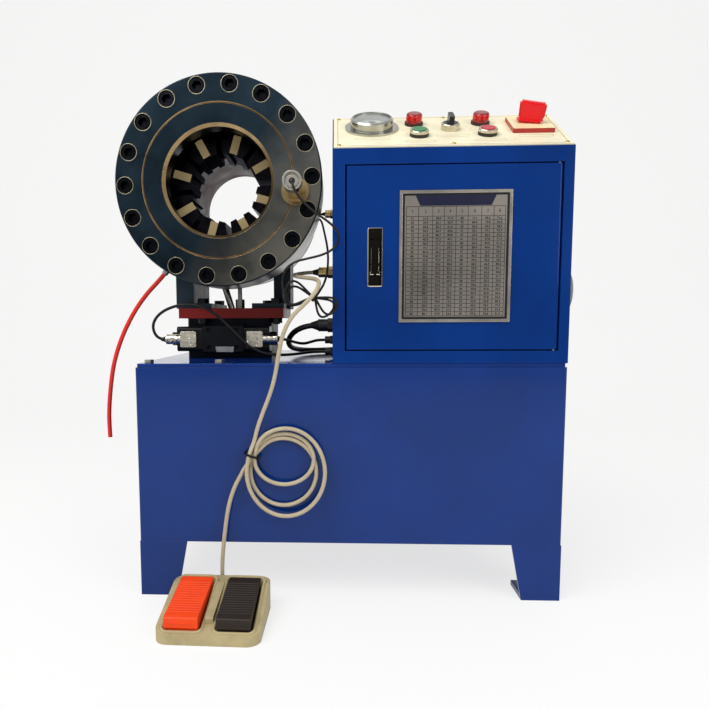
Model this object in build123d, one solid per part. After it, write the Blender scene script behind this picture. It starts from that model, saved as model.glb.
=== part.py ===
from build123d import *
import math
import os

os.makedirs("parts", exist_ok=True)

# Frame: millimetres, X to the right, Y away from the operator, Z up.
# The origin lies on the floor at the centre of the four foot plates.

# Oil tank, which is also the base of the machine
TANK_WIDTH = 670.0
TANK_DEPTH = 450.0
TANK_HEIGHT = 281.0
TANK_WALL = 4.0
TANK_LIP = 32.0
LEG_HEIGHT = 90.0
COVER_THICKNESS = 6.0
COVER_INSET = 3.0
COVER_BOLT_INSET = 18.0
COVER_BOLT_RADIUS = 4.0
COVER_BOLT_PITCH = 113.8
BOLT_HEAD_RADIUS = 7.5
BOLT_HEAD_HEIGHT = 5.5

# Legs: folded angles that taper to a foot plate
LEG_TOP_WIDTH = 77.0
LEG_FOOT_WIDTH = 60.0
LEG_WALL = 4.0
FOOT_PLATE_THICKNESS = 8.0
ANCHOR_HOLE_RADIUS = 7.0

# Control cabinet
CABINET_WIDTH = 359.0
CABINET_DEPTH = 214.0
CABINET_FRONT_SETBACK = 1.0
CABINET_FRONT_HEIGHT = 323.0
CABINET_WALL = 2.0
PANEL_SLOPE_DEG = 33.0
PANEL_SLOPE_LENGTH = 148.0
PANEL_THICKNESS = 2.0
PANEL_EDGE = 2.0
PANEL_FLANGE = 13.0

# Door and its lock
DOOR_LEFT_MARGIN = 21.0
DOOR_BOTTOM_MARGIN = 21.4
DOOR_RIGHT_MARGIN = 17.0
DOOR_HEIGHT = 276.5
DOOR_DEPTH = 18.0
DOOR_WALL = 2.0
DOOR_CORNER = 3.0
DOOR_GAP = 2.0
FRAME_RETURN = 12.0
HINGE_PIN_RADIUS = 2.0
HINGE_INSET = 4.5
HINGE_SETBACK = 4.5
HINGE_BLOCK_REACH = 12.0
HINGE_BLOCK_HEIGHT = 10.0
LATCH_FROM_DOOR_EDGE = 32.0
LATCH_WIDTH = 23.5
LATCH_HEIGHT = 89.0
LATCH_BASE_ABOVE_DOOR = 96.0
LATCH_PROUD = 2.0
LATCH_DEPTH = 15.0
LATCH_BEVEL = 1.4
LEVER_WIDTH = 15.5
LEVER_LENGTH = 55.0
LEVER_THICKNESS = 7.0
LEVER_BELOW_TOP = 17.0
LEVER_EDGE_RADIUS = 3.0
LEVER_TIP_HEIGHT = 5.5
LEVER_BAR_HEIGHT = 12.0
LEVER_BAR_WIDTH = 3.0
LEVER_BAR_PROUD = 1.5
LEVER_GAP = 0.5
LEVER_PIN_RADIUS = 1.6
TABLE_WIDTH = 168.0
TABLE_HEIGHT = 197.0
TABLE_THICKNESS = 1.5
TABLE_FROM_DOOR_EDGE = 80.0
TABLE_ABOVE_DOOR = 42.0

# Controls: place as a share of the panel's width, and distance up its slope
GAUGE_PLACE = (0.1735, 88.0)
GAUGE_FLANGE_RADIUS = 42.5
GAUGE_FLANGE_THICKNESS = 3.0
GAUGE_BEZEL_RADIUS = 34.0
GAUGE_GLASS_RADIUS = 29.5
GAUGE_HEIGHT = 14.0
GAUGE_BODY_DEPTH = 32.0
GAUGE_NEEDLE_LENGTH = 23.0
LAMP_PLACES = ((0.3649, 105.0), (0.6602, 103.5))
GREEN_PLACE = (0.3733, 49.0)
RED_PLACE = (0.6657, 50.0)
SELECTOR_PLACE = (0.5167, 78.0)
BEZEL_RADIUS = 14.7
BEZEL_HEIGHT = 10.0
BEZEL_BORE = 11.6
CONTROL_STEM_RADIUS = 11.0
CONTROL_STEM_DEPTH = 40.0
BUTTON_TRAVEL = 4.0
BUTTON_GAP = 0.3
LAMP_BASE_HEIGHT = 4.0
LAMP_LENS_RADIUS = 12.8
LAMP_LENS_HEIGHT = 14.0
SELECTOR_LEVER_LENGTH = 27.0
SELECTOR_LEVER_WIDTH = 8.0
SELECTOR_LEVER_HEIGHT = 12.0
SWITCH_PLACE = (0.8649, 84.5)
SWITCH_PLATE_SIZE = 64.0
SWITCH_PLATE_HEIGHT = 7.0
SWITCH_RING_RADIUS = 24.0
SWITCH_RING_HEIGHT = 6.0
SWITCH_HANDLE_LENGTH = 43.0
SWITCH_HANDLE_WIDTH = 15.0
SWITCH_HANDLE_HEIGHT = 27.0
SWITCH_HANDLE_TURN_DEG = 45.0

# Electrical gear on a mounting panel inside the cabinet
GEAR_STANDOFF = 14.0
GEAR_MARGIN = 30.0
GEAR_HEIGHT = 310.0
GEAR_PLATE_THICKNESS = 2.0
GEAR_SPACER_INSET = 15.0
GEAR_SPACER_RADIUS = 5.0
RAIL_PROUD = 9.0
RAIL_WIDTH = 35.0
RAIL_INSET = 20.0
TOP_RAIL_DROP = 80.0
LOW_RAIL_RISE = 70.0
CONTACTOR_COUNT = 3
CONTACTOR_WIDTH = 45.0
CONTACTOR_PITCH = 55.0
CONTACTOR_HEIGHT = 76.0
CONTACTOR_DEPTH = 78.0
CONTACTOR_STEP = 14.0
CONTACTOR_STEP_DEPTH = 16.0
CONTACTOR_FROM_LEFT = 30.0
RELAY_FROM_LEFT = 205.0
RELAY_WIDTH = 50.0
RELAY_HEIGHT = 64.0
RELAY_DEPTH = 60.0
TERMINAL_FROM_LEFT = 40.0
TERMINAL_COUNT = 12
TERMINAL_PITCH = 15.0
TERMINAL_HEIGHT = 44.0
TERMINAL_DEPTH = 38.0
TERMINAL_SLOT = 2.0
TERMINAL_SLOT_DEPTH = 12.0

# Crimping head: a round body with its axis along Y
HEAD_FROM_CABINET = 16.4
HEAD_ABOVE_PLATE = 50.2
FLANGE_FRONT = -170.3
FLANGE_THICKNESS = 40.0
JOINT_STEP = 3.6
JOINT_CHAMFER = 1.2
THROAT_LAND = 10.2
THROAT_CHAMFER = 5.0
CONE_SHOULDER_STEP = 8.0
CONE_SHOULDER_LENGTH = 18.0
BODY_FLANGE_LENGTH = 56.0
BODY_WALL = 25.0
CYLINDER_LAND = 1.9
REAR_COVER_FACE = 120.0
REAR_END = 144.7
GUIDE_BORE_RADIUS = 76.0
GUIDE_WALL = 8.0
GUIDE_SETBACK = 26.0
SCREW_CIRCLE_STEP = 25.5
SCREW_EDGE = 16.3
SCREW_COUNT = 18
SCREW_START_DEG = 2.0
SCREW_RADIUS = 8.0
SCREW_HEAD_RADIUS = 12.0
SCREW_HEAD_HEIGHT = 16.0
COUNTERBORE_RADIUS = 13.0
COUNTERBORE_DEPTH = 17.5
SCREW_LENGTH = 70.0
SOCKET_RADIUS = 8.0
SOCKET_DEPTH = 8.0
FIT_GAP = 0.2
RUNNING_FIT = 0.1

# Master dies and the two cones that close them
DIE_COUNT = 8
DIE_START_DEG = 28.5
DIE_FRONT = -115.0
DIE_LENGTH = 80.0
DIE_OPEN_RADIUS = 54.5
DIE_FRONT_RADIUS = 96.0
DIE_SIDE_GAP = 9.0
CONE_ANGLE_DEG = 25.0
DIE_CLOSING = 10.0
DIE_CONE_GAP = 0.3
DIE_SLOT_WIDTH = 14.0
DIE_SLOT_DEPTH = 1.5
DIE_SLOT_INNER = 58.0
DIE_SLOT_OUTER = 89.0
DIE_GROOVE_DEPTH = 4.0
PISTON_STOP_GAP = 1.0

# Head stand, its red plate, manifold and valve
PLATE_LEFT_REACH = 92.8
PLATE_RIGHT_REACH = 96.2
PLATE_FRONT = -72.0
PLATE_REAR = 110.0
PLATE_THICKNESS = 18.0
STAND_FOOT_THICKNESS = 9.0
STAND_FOOT_WIDTH = 58.0
STAND_FRONT = -62.0
STAND_REAR = 100.0
STAND_LEG_THICKNESS = 32.0
STAND_LEG_OFFSET = 71.0
STAND_SADDLE_DROP = 90.0
LEFT_LEG_FRONT = -46.0
RIGHT_LEG_FRONT = 12.0
STAND_BOLT_RADIUS = 6.0
MANIFOLD_LEFT_REACH = 83.8
MANIFOLD_RIGHT_REACH = 71.2
MANIFOLD_HEIGHT = 71.0
COVER_BOLT_BEHIND = 40.0
MANIFOLD_FRONT = -42.0
MANIFOLD_REAR = 98.0
VALVE_LEFT_REACH = 46.8
VALVE_RIGHT_REACH = 26.2
VALVE_ABOVE_COVER = 10.0
VALVE_HEIGHT = 49.0
VALVE_DEPTH = 50.0
COIL_LENGTH = 46.0
COIL_SIZE = 44.0
CONNECTOR_LENGTH = 28.0
CONNECTOR_SIZE = 28.0
CONNECTOR_DEPTH = 18.0
CONNECTOR_GLAND_RADIUS = 8.8
CONNECTOR_GLAND_LENGTH = 26.0

# Proximity sensor on the flange, and the pipe under the head
SENSOR_OFFSET = (124.6, -18.7)
SENSOR_WASHER_RADIUS = 22.0
SENSOR_WASHER_THICKNESS = 6.0
SENSOR_BODY_RADIUS = 9.0
SENSOR_REACH = 85.0
SENSOR_CAP_RADIUS = 14.5
SENSOR_CAP_LENGTH = 24.0
PIPE_RADIUS = 6.0
PIPE_Y = -20.0
PIPE_FOOT_OFFSET = -4.8
PIPE_TOP_OFFSET = -20.8
STEM_OFFSET = 10.7
FITTING_HEIGHT = 17.0
STEM_RADIUS = 4.0
FITTING_RADIUS = 8.5

# Cable glands on the left wall of the cabinet: y, height over the cover, radius, reach
GLAND_Y = -75.0
SENSOR_GLAND_Y = -35.0
GLANDS = (
    (SENSOR_GLAND_Y, 258.0, 7.0, 14.0),
    (GLAND_Y, 151.0, 9.0, 25.0),
    (GLAND_Y, 58.0, 11.0, 26.0),
    (GLAND_Y, 32.0, 6.5, 14.0),
    (GLAND_Y, 11.0, 6.5, 14.0),
)
GLAND_BORE_SHARE = 0.62

# Pump motor on the tank cover, with the pump hanging in the oil
MOTOR_X = 170.0
MOTOR_Y = 108.0
MOTOR_FLANGE_RADIUS = 100.0
MOTOR_FLANGE_THICKNESS = 12.0
MOTOR_RADIUS = 80.0
MOTOR_FIN_HEIGHT = 8.0
MOTOR_FIN_COUNT = 20
MOTOR_LENGTH = 190.0
COWL_LENGTH = 68.0
COWL_WALL = 2.5
MOTOR_SHAFT_RADIUS = 12.0
FAN_RADIUS = 72.0
FAN_BLADES = 8
PUMP_BELL_RADIUS = 55.0
PUMP_BELL_LENGTH = 70.0
PUMP_SIZE = 84.0
PUMP_LENGTH = 70.0
STRAINER_RADIUS = 32.0
STRAINER_LENGTH = 60.0

# Foot switch on the floor in front of the machine
SWITCH_X = -197.5
SWITCH_FRONT_Y = -384.0
SWITCH_WIDTH = 149.0
SWITCH_DEPTH = 139.0
SWITCH_TURN_DEG = -1.5
SWITCH_FRONT_HEIGHT = 13.0
SWITCH_REAR_HEIGHT = 43.0
SWITCH_INLET_X = -6.0
PEDAL_WIDTH = 48.0
PEDAL_LENGTH = 106.0
PEDAL_SPACING = 74.0
PEDAL_GAP = 2.5
PEDAL_THICKNESS = 14.0
PEDAL_RIBS = 9
PEDAL_FRONT_Y = 12.0
PEDAL_PIN_SETBACK = 7.0
PEDAL_PIN_Z = 12.5
PEDAL_PIN_RADIUS = 2.5
PEDAL_RISE_DEG = 12.0

# Cords
FOOT_CABLE_DIAMETER = 6.5
SENSOR_CABLE_DIAMETER = 3.5
VALVE_CABLE_DIAMETER = 5.0
MOTOR_CABLE_DIAMETER = 10.0
RED_TUBE_DIAMETER = 8.0
RED_TUBE_ANGLE_DEG = -131.0
RED_TUBE_Y = -58.0
RED_FITTING_SINK = 3.0
RED_FITTING_LENGTH = 36.0
RED_FITTING_HEX_LENGTH = 20.0
RED_FITTING_HEX_RADIUS = 8.0
RED_FITTING_RADIUS = 5.5

# Levels and faces worked out from the driving dimensions
TANK_LEFT = -TANK_WIDTH / 2
TANK_RIGHT = TANK_WIDTH / 2
TANK_FRONT = -TANK_DEPTH / 2
TANK_REAR = TANK_DEPTH / 2
TANK_TOP = LEG_HEIGHT + TANK_HEIGHT
COVER_TOP = TANK_TOP + COVER_THICKNESS
CABINET_RIGHT = TANK_RIGHT
CABINET_LEFT = CABINET_RIGHT - CABINET_WIDTH
CABINET_FRONT = TANK_FRONT + CABINET_FRONT_SETBACK
CABINET_REAR = CABINET_FRONT + CABINET_DEPTH
SLOPE_FOOT_Z = COVER_TOP + CABINET_FRONT_HEIGHT
SLOPE = math.radians(PANEL_SLOPE_DEG)
SLOPE_TOP_Y = CABINET_FRONT + PANEL_SLOPE_LENGTH * math.cos(SLOPE)
CABINET_TOP = SLOPE_FOOT_Z + PANEL_SLOPE_LENGTH * math.sin(SLOPE)
DOOR_LEFT = CABINET_LEFT + DOOR_LEFT_MARGIN
DOOR_RIGHT = CABINET_RIGHT - DOOR_RIGHT_MARGIN
DOOR_BOTTOM = COVER_TOP + DOOR_BOTTOM_MARGIN
DOOR_TOP = DOOR_BOTTOM + DOOR_HEIGHT
HINGE_X = DOOR_RIGHT - HINGE_INSET
HINGE_Y = CABINET_FRONT + HINGE_SETBACK
PLATE_Y = CABINET_REAR - CABINET_WALL - GEAR_STANDOFF
GEAR_LEFT = CABINET_LEFT + GEAR_MARGIN
GEAR_RIGHT = CABINET_RIGHT - GEAR_MARGIN
GEAR_BOTTOM = COVER_TOP + GEAR_MARGIN
GEAR_TOP = GEAR_BOTTOM + GEAR_HEIGHT
FLANGE_BACK = FLANGE_FRONT + FLANGE_THICKNESS
BODY_STEP = FLANGE_BACK + BODY_FLANGE_LENGTH
CONE_TAN = math.tan(math.radians(CONE_ANGLE_DEG))
DIE_ADVANCE = DIE_CLOSING / CONE_TAN
DIE_REAR = DIE_FRONT + DIE_LENGTH
DIE_RIDGE = DIE_FRONT + DIE_LENGTH / 2
DIE_RIDGE_RADIUS = DIE_FRONT_RADIUS + DIE_LENGTH / 2 * CONE_TAN
CYLINDER_RADIUS = DIE_RIDGE_RADIUS / math.cos(math.pi / DIE_COUNT) + CYLINDER_LAND
JOINT_RADIUS = CYLINDER_RADIUS - JOINT_STEP
THROAT_RADIUS = DIE_FRONT_RADIUS - THROAT_LAND
CONE_SHOULDER_RADIUS = CYLINDER_RADIUS + CONE_SHOULDER_STEP
BODY_RADIUS = CYLINDER_RADIUS + BODY_WALL
SCREW_CIRCLE_RADIUS = CYLINDER_RADIUS + SCREW_CIRCLE_STEP
FLANGE_RADIUS = SCREW_CIRCLE_RADIUS + SCREW_EDGE
CONE_GAP_RADIAL = DIE_CONE_GAP / math.cos(math.radians(CONE_ANGLE_DEG))
CONE_THROAT_Y = DIE_FRONT - DIE_ADVANCE - PISTON_STOP_GAP
CONE_REAR = DIE_RIDGE - DIE_ADVANCE
PISTON_FRONT = DIE_RIDGE + DIE_ADVANCE + PISTON_STOP_GAP
CAVITY_END = DIE_REAR + DIE_ADVANCE + PISTON_STOP_GAP
GUIDE_RADIUS = GUIDE_BORE_RADIUS + GUIDE_WALL
GUIDE_FRONT = DIE_REAR + GUIDE_SETBACK
PLATE_BOTTOM = COVER_TOP + MANIFOLD_HEIGHT
PLATE_TOP = PLATE_BOTTOM + PLATE_THICKNESS
HEAD_X = CABINET_LEFT - HEAD_FROM_CABINET - FLANGE_RADIUS
HEAD_Z = PLATE_TOP + HEAD_ABOVE_PLATE + BODY_RADIUS
PLATE_LEFT = HEAD_X - PLATE_LEFT_REACH
PLATE_RIGHT = HEAD_X + PLATE_RIGHT_REACH
MANIFOLD_LEFT = HEAD_X - MANIFOLD_LEFT_REACH
MANIFOLD_RIGHT = HEAD_X + MANIFOLD_RIGHT_REACH
VALVE_LEFT = HEAD_X - VALVE_LEFT_REACH
VALVE_RIGHT = HEAD_X + VALVE_RIGHT_REACH
VALVE_BOTTOM = COVER_TOP + VALVE_ABOVE_COVER
FOOT_TOP = PLATE_TOP + STAND_FOOT_THICKNESS
MOTOR_TOP = COVER_TOP + MOTOR_FLANGE_THICKNESS + MOTOR_LENGTH
RED_FITTING_SEAT = BODY_RADIUS - RED_FITTING_SINK
RED_TUBE_START = RED_FITTING_SEAT + RED_FITTING_LENGTH


# Small helpers for placed solids
def block(x0, x1, y0, y1, z0, z1):
    return Pos((x0 + x1) / 2, (y0 + y1) / 2, (z0 + z1) / 2) * Box(x1 - x0, y1 - y0, z1 - z0)


def rod_x(y, z, radius, x0, x1):
    return Pos((x0 + x1) / 2, y, z) * Rot(0, 90, 0) * Cylinder(radius, x1 - x0)


def rod_y(x, z, radius, y0, y1):
    return Pos(x, (y0 + y1) / 2, z) * Rot(90, 0, 0) * Cylinder(radius, y1 - y0)


def rod_z(x, y, radius, z0, z1):
    return Pos(x, y, (z0 + z1) / 2) * Cylinder(radius, z1 - z0)


def hex_z(x, y, radius, z0, z1):
    return Pos(x, y, z0) * extrude(RegularPolygon(radius, 6), z1 - z0)


def hex_x(y, z, radius, x0, x1):
    return Pos(x0, y, z) * Rot(0, 90, 0) * extrude(RegularPolygon(radius, 6), x1 - x0)


def turned_about_y(x, z, outline):
    """Solid of revolution about an axis along Y, from (radius, y) corners."""
    face = make_face(Polyline(*[(r, y, 0) for r, y in outline], close=True))
    return Pos(x, 0, z) * revolve(face, Axis.Y)


def on_panel(place, height=0.0):
    """Location on the sloping panel: share across, distance up the slope, height over its steel."""
    share, up = place
    x = CABINET_LEFT + share * CABINET_WIDTH
    y = CABINET_FRONT + up * math.cos(SLOPE) - height * math.sin(SLOPE)
    z = SLOPE_FOOT_Z + up * math.sin(SLOPE) + height * math.cos(SLOPE)
    normal = (0, -math.sin(SLOPE), math.cos(SLOPE))
    return Plane(origin=(x, y, z), x_dir=(1, 0, 0), z_dir=normal).location


def standing(radius, low, high):
    """Cylinder in a local frame from low to high along local Z."""
    return Pos(0, 0, (low + high) / 2) * Cylinder(radius, high - low)


def save(name, *solids):
    shape = solids[0] if len(solids) == 1 else Compound(children=list(solids))
    export_step(shape, "parts/" + name + ".step")


# Tank, legs and cover
def tank_shell():
    body = block(TANK_LEFT, TANK_RIGHT, TANK_FRONT, TANK_REAR, LEG_HEIGHT, TANK_TOP)
    body = fillet(body.edges().filter_by(Axis.Z), TANK_WALL)
    inner = block(
        TANK_LEFT + TANK_WALL, TANK_RIGHT - TANK_WALL,
        TANK_FRONT + TANK_WALL, TANK_REAR - TANK_WALL,
        LEG_HEIGHT + TANK_WALL, TANK_TOP - TANK_WALL)
    mouth = block(
        TANK_LEFT + TANK_LIP, TANK_RIGHT - TANK_LIP,
        TANK_FRONT + TANK_LIP, TANK_REAR - TANK_LIP,
        TANK_TOP - 2 * TANK_WALL, TANK_TOP + TANK_WALL)
    body = body - inner - mouth
    for x, y in cover_bolt_places():
        body -= rod_z(x, y, COVER_BOLT_RADIUS + FIT_GAP, TANK_TOP - 2 * TANK_WALL, TANK_TOP + 1)
    return body


def cover_bolt_places():
    """Eight bolts round the cover: corners, middles of the long sides, middles of the ends."""
    x = TANK_RIGHT - COVER_BOLT_INSET
    y = TANK_REAR - COVER_BOLT_INSET
    middle = COVER_BOLT_PITCH - x
    behind = MANIFOLD_REAR + COVER_BOLT_BEHIND
    return ((-x, -y), (x, y), (-x, y), (middle, -y), (middle, y), (-x, behind), (x, 0.0), (x / 8, y))


def tank_cover():
    plate = block(
        TANK_LEFT + COVER_INSET, TANK_RIGHT - COVER_INSET,
        TANK_FRONT + COVER_INSET, TANK_REAR - COVER_INSET, TANK_TOP, COVER_TOP)
    for x, y in cover_bolt_places():
        plate -= rod_z(x, y, COVER_BOLT_RADIUS + FIT_GAP, TANK_TOP - 1, COVER_TOP + 1)
    return plate - rod_z(MOTOR_X, MOTOR_Y, MOTOR_SHAFT_RADIUS + 4, TANK_TOP - 1, COVER_TOP + 1)


def leg(side_x, side_y):
    """One leg at a corner of the tank, with its foot plate inside the angle."""
    taper = LEG_TOP_WIDTH - LEG_FOOT_WIDTH
    outline = Polyline((0, 0), (LEG_FOOT_WIDTH, 0), (LEG_FOOT_WIDTH + taper, LEG_HEIGHT),
                       (0, LEG_HEIGHT), close=True)
    web = extrude(Plane.XZ * make_face(outline), -LEG_WALL)
    flange = Plane.XY * mirror(web, Plane(origin=(0, 0, 0), z_dir=(1, -1, 0)))
    plate = block(LEG_WALL, LEG_FOOT_WIDTH, LEG_WALL, LEG_FOOT_WIDTH, 0, FOOT_PLATE_THICKNESS)
    hole = rod_z(LEG_FOOT_WIDTH / 2, LEG_FOOT_WIDTH / 2, ANCHOR_HOLE_RADIUS, -1, FOOT_PLATE_THICKNESS + 1)
    shape = web + flange + plate - hole
    if side_x > 0:
        shape = mirror(shape, Plane.YZ)
    if side_y > 0:
        shape = mirror(shape, Plane.XZ)
    return Pos(side_x * TANK_WIDTH / 2, side_y * TANK_DEPTH / 2, 0) * shape


def cover_bolts():
    bolts = []
    for x, y in cover_bolt_places():
        shank = rod_z(x, y, COVER_BOLT_RADIUS, TANK_TOP - TANK_WALL, COVER_TOP)
        bolts.append(shank + hex_z(x, y, BOLT_HEAD_RADIUS, COVER_TOP, COVER_TOP + BOLT_HEAD_HEIGHT))
    return bolts


# Cabinet, panel and door
def cabinet_profile(inset):
    """Side outline of the cabinet in the YZ plane, moved inwards by the wall."""
    shift = inset * math.tan(SLOPE / 2)
    return Polyline(
        (CABINET_FRONT + inset, COVER_TOP + inset),
        (CABINET_FRONT + inset, SLOPE_FOOT_Z - shift),
        (SLOPE_TOP_Y + shift, CABINET_TOP - inset),
        (CABINET_REAR - inset, CABINET_TOP - inset),
        (CABINET_REAR - inset, COVER_TOP + inset), close=True)


def cabinet_prism(inset):
    face = Plane.YZ * make_face(cabinet_profile(inset))
    return Pos(CABINET_LEFT + inset, 0, 0) * extrude(face, CABINET_WIDTH - 2 * inset)


def door_opening(margin, y0, y1):
    return block(DOOR_LEFT - margin, DOOR_RIGHT + margin, y0, y1, DOOR_BOTTOM - margin, DOOR_TOP + margin)


def cabinet_shell():
    shell = cabinet_prism(0) - cabinet_prism(CABINET_WALL)
    outer = DOOR_GAP + CABINET_WALL
    frame = door_opening(outer, CABINET_FRONT + CABINET_WALL, CABINET_FRONT + FRAME_RETURN)
    shell += frame
    shell -= door_opening(DOOR_GAP, CABINET_FRONT - 1, CABINET_FRONT + FRAME_RETURN + 1)
    width = CABINET_WIDTH - 2 * PANEL_FLANGE
    length = PANEL_SLOPE_LENGTH - 2 * PANEL_FLANGE
    middle = (0.5, PANEL_SLOPE_LENGTH / 2)
    shell -= on_panel(middle) * Box(width, length, 4 * CABINET_WALL)
    for z in (DOOR_BOTTOM - DOOR_GAP - CABINET_WALL, DOOR_TOP + DOOR_GAP):
        shell -= rod_z(HINGE_X, HINGE_Y, HINGE_PIN_RADIUS + RUNNING_FIT, z - 1, z + CABINET_WALL + 1)
    for y, height, radius, reach in GLANDS:
        hole = radius * GLAND_BORE_SHARE + FIT_GAP
        shell -= rod_x(y, COVER_TOP + height, hole, CABINET_LEFT - 1, CABINET_LEFT + CABINET_WALL + 1)
    return shell


def stem_places():
    return LAMP_PLACES + (GREEN_PLACE, RED_PLACE, SELECTOR_PLACE, SWITCH_PLACE)


def control_panel():
    middle = (0.5, PANEL_SLOPE_LENGTH / 2)
    plate = Box(CABINET_WIDTH - 2 * PANEL_EDGE, PANEL_SLOPE_LENGTH - 2 * PANEL_EDGE, PANEL_THICKNESS)
    plate = on_panel(middle, PANEL_THICKNESS / 2) * plate
    for place in stem_places():
        plate -= on_panel(place) * Cylinder(CONTROL_STEM_RADIUS + FIT_GAP, 4 * PANEL_THICKNESS)
    return plate - on_panel(GAUGE_PLACE) * Cylinder(GAUGE_GLASS_RADIUS + FIT_GAP, 4 * PANEL_THICKNESS)


def door():
    skin = door_opening(0, CABINET_FRONT, CABINET_FRONT + DOOR_DEPTH)
    skin = fillet(skin.edges().filter_by(Axis.Z).group_by(Axis.Y)[0], DOOR_CORNER)
    shape = skin - door_opening(-DOOR_WALL, CABINET_FRONT + DOOR_WALL, CABINET_FRONT + DOOR_DEPTH + 1)
    x0 = latch_left() + CABINET_WALL
    x1 = latch_left() + LATCH_WIDTH - CABINET_WALL
    z0 = latch_bottom() + CABINET_WALL
    z1 = latch_bottom() + LATCH_HEIGHT - CABINET_WALL
    shape -= block(x0 - FIT_GAP, x1 + FIT_GAP, CABINET_FRONT - 1, CABINET_FRONT + DOOR_WALL + 1,
                   z0 - FIT_GAP, z1 + FIT_GAP)
    for z in (DOOR_BOTTOM, DOOR_TOP):
        shape -= rod_z(HINGE_X, HINGE_Y, HINGE_PIN_RADIUS + RUNNING_FIT, z - 2 * DOOR_WALL, z + 2 * DOOR_WALL)
    return shape


def hinge(z_door, direction):
    """Hinge block behind the frame, above or below the door, with its pin."""
    z_frame = z_door + direction * (DOOR_GAP + CABINET_WALL)
    z_block = z_frame + direction * HINGE_BLOCK_HEIGHT
    z_tip = z_door - direction * 3.0 * DOOR_WALL
    x1 = min(CABINET_RIGHT - CABINET_WALL, HINGE_X + HINGE_BLOCK_REACH)
    body = block(HINGE_X - HINGE_BLOCK_REACH, x1, CABINET_FRONT + CABINET_WALL,
                 CABINET_FRONT + FRAME_RETURN, min(z_frame, z_block), max(z_frame, z_block))
    return body, rod_z(HINGE_X, HINGE_Y, HINGE_PIN_RADIUS, min(z_frame, z_tip), max(z_frame, z_tip))


def door_hinges():
    solids = []
    for z_door, direction in ((DOOR_BOTTOM, -1), (DOOR_TOP, 1)):
        body, pin = hinge(z_door, direction)
        solids.append(body + pin)
    return solids


def latch_left():
    return DOOR_LEFT + LATCH_FROM_DOOR_EDGE


def latch_bottom():
    return DOOR_BOTTOM + LATCH_BASE_ABOVE_DOOR


def lever_top():
    return latch_bottom() + LATCH_HEIGHT - LEVER_BELOW_TOP


def lever_pivot():
    """Centre of the lever's pin, near its lower end."""
    x = latch_left() + LATCH_WIDTH / 2
    y = CABINET_FRONT + LEVER_THICKNESS / 2
    return x, y, lever_top() - LEVER_LENGTH + LEVER_THICKNESS / 2


def latch_housing():
    x0 = latch_left()
    x1 = x0 + LATCH_WIDTH
    z0 = latch_bottom()
    z1 = z0 + LATCH_HEIGHT
    wall = CABINET_WALL
    rim = block(x0, x1, CABINET_FRONT - LATCH_PROUD, CABINET_FRONT, z0, z1)
    rim = fillet(rim.edges().filter_by(Axis.Y), 3.0)
    rim = chamfer(rim.faces().sort_by(Axis.Y)[0].edges(), LATCH_BEVEL)
    cup = block(x0 + wall, x1 - wall, CABINET_FRONT, CABINET_FRONT + LATCH_DEPTH, z0 + wall, z1 - wall)
    x, y, z = lever_pivot()
    half = LEVER_WIDTH / 2 + LEVER_GAP
    pocket = block(x - half, x + half, CABINET_FRONT - LATCH_PROUD - 1, CABINET_FRONT + LATCH_DEPTH - wall,
                   z0 + 2 * wall, lever_top() + LEVER_GAP)
    arch = rod_y(x, lever_top() + LEVER_GAP, half, CABINET_FRONT - LATCH_PROUD - 1, CABINET_FRONT - LATCH_PROUD + 1)
    pin = rod_x(y, z, LEVER_PIN_RADIUS, x - half - 1, x + half + 1)
    button = rod_y(x, z1 - 9.0, 5.5, CABINET_FRONT - LATCH_PROUD - 1.5, CABINET_FRONT - LATCH_PROUD)
    return rim + cup - pocket - arch + pin + button


def latch_lever():
    x, y, z = lever_pivot()
    half = LEVER_WIDTH / 2
    top = lever_top() - half
    face = y - LEVER_THICKNESS / 2
    plate = block(x - half, x + half, face, y + LEVER_THICKNESS / 2, z, top)
    plate = fillet(plate.edges().filter_by(Axis.Z).group_by(Axis.Y)[0], LEVER_EDGE_RADIUS)
    head = rod_y(x, top, half, face, y + LEVER_THICKNESS / 2)
    knuckle = rod_x(y, z, LEVER_THICKNESS / 2, x - half, x + half)
    low = z + LEVER_BAR_HEIGHT
    grip = block(x - half + 2, x + half - 2, face - LEVER_BAR_PROUD, face + 1, low, low + LEVER_BAR_WIDTH)
    tip_z = z - LEVER_THICKNESS / 2
    tip = Polyline((x, tip_z), (x + half - 1, tip_z + LEVER_TIP_HEIGHT), (x - half + 1, tip_z + LEVER_TIP_HEIGHT),
                   close=True)
    tip = Pos(0, y, 0) * extrude(Plane.XZ * make_face(tip), LEVER_THICKNESS / 2 + LEVER_BAR_PROUD)
    bore = rod_x(y, z, LEVER_PIN_RADIUS + RUNNING_FIT, x - half - 1, x + half + 1)
    return plate + head + knuckle + grip + tip - bore


def size_table_plate():
    x0 = DOOR_LEFT + TABLE_FROM_DOOR_EDGE
    z0 = DOOR_BOTTOM + TABLE_ABOVE_DOOR
    return block(x0, x0 + TABLE_WIDTH, CABINET_FRONT - TABLE_THICKNESS, CABINET_FRONT, z0, z0 + TABLE_HEIGHT)


# Controls on the panel
def gauge_case():
    top = PANEL_THICKNESS + GAUGE_FLANGE_THICKNESS + GAUGE_HEIGHT
    flange = standing(GAUGE_FLANGE_RADIUS, PANEL_THICKNESS, PANEL_THICKNESS + GAUGE_FLANGE_THICKNESS)
    bezel = standing(GAUGE_BEZEL_RADIUS, PANEL_THICKNESS, top)
    bezel = chamfer(bezel.edges().group_by(Axis.Z)[-1], 2.5)
    body = standing(GAUGE_GLASS_RADIUS, -GAUGE_BODY_DEPTH, PANEL_THICKNESS + 1)
    bowl = standing(GAUGE_GLASS_RADIUS, PANEL_THICKNESS + 2, top + 1)
    post = standing(1.5, PANEL_THICKNESS + 1, PANEL_THICKNESS + 9)
    return on_panel(GAUGE_PLACE) * (flange + bezel + body - bowl + post)


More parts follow.
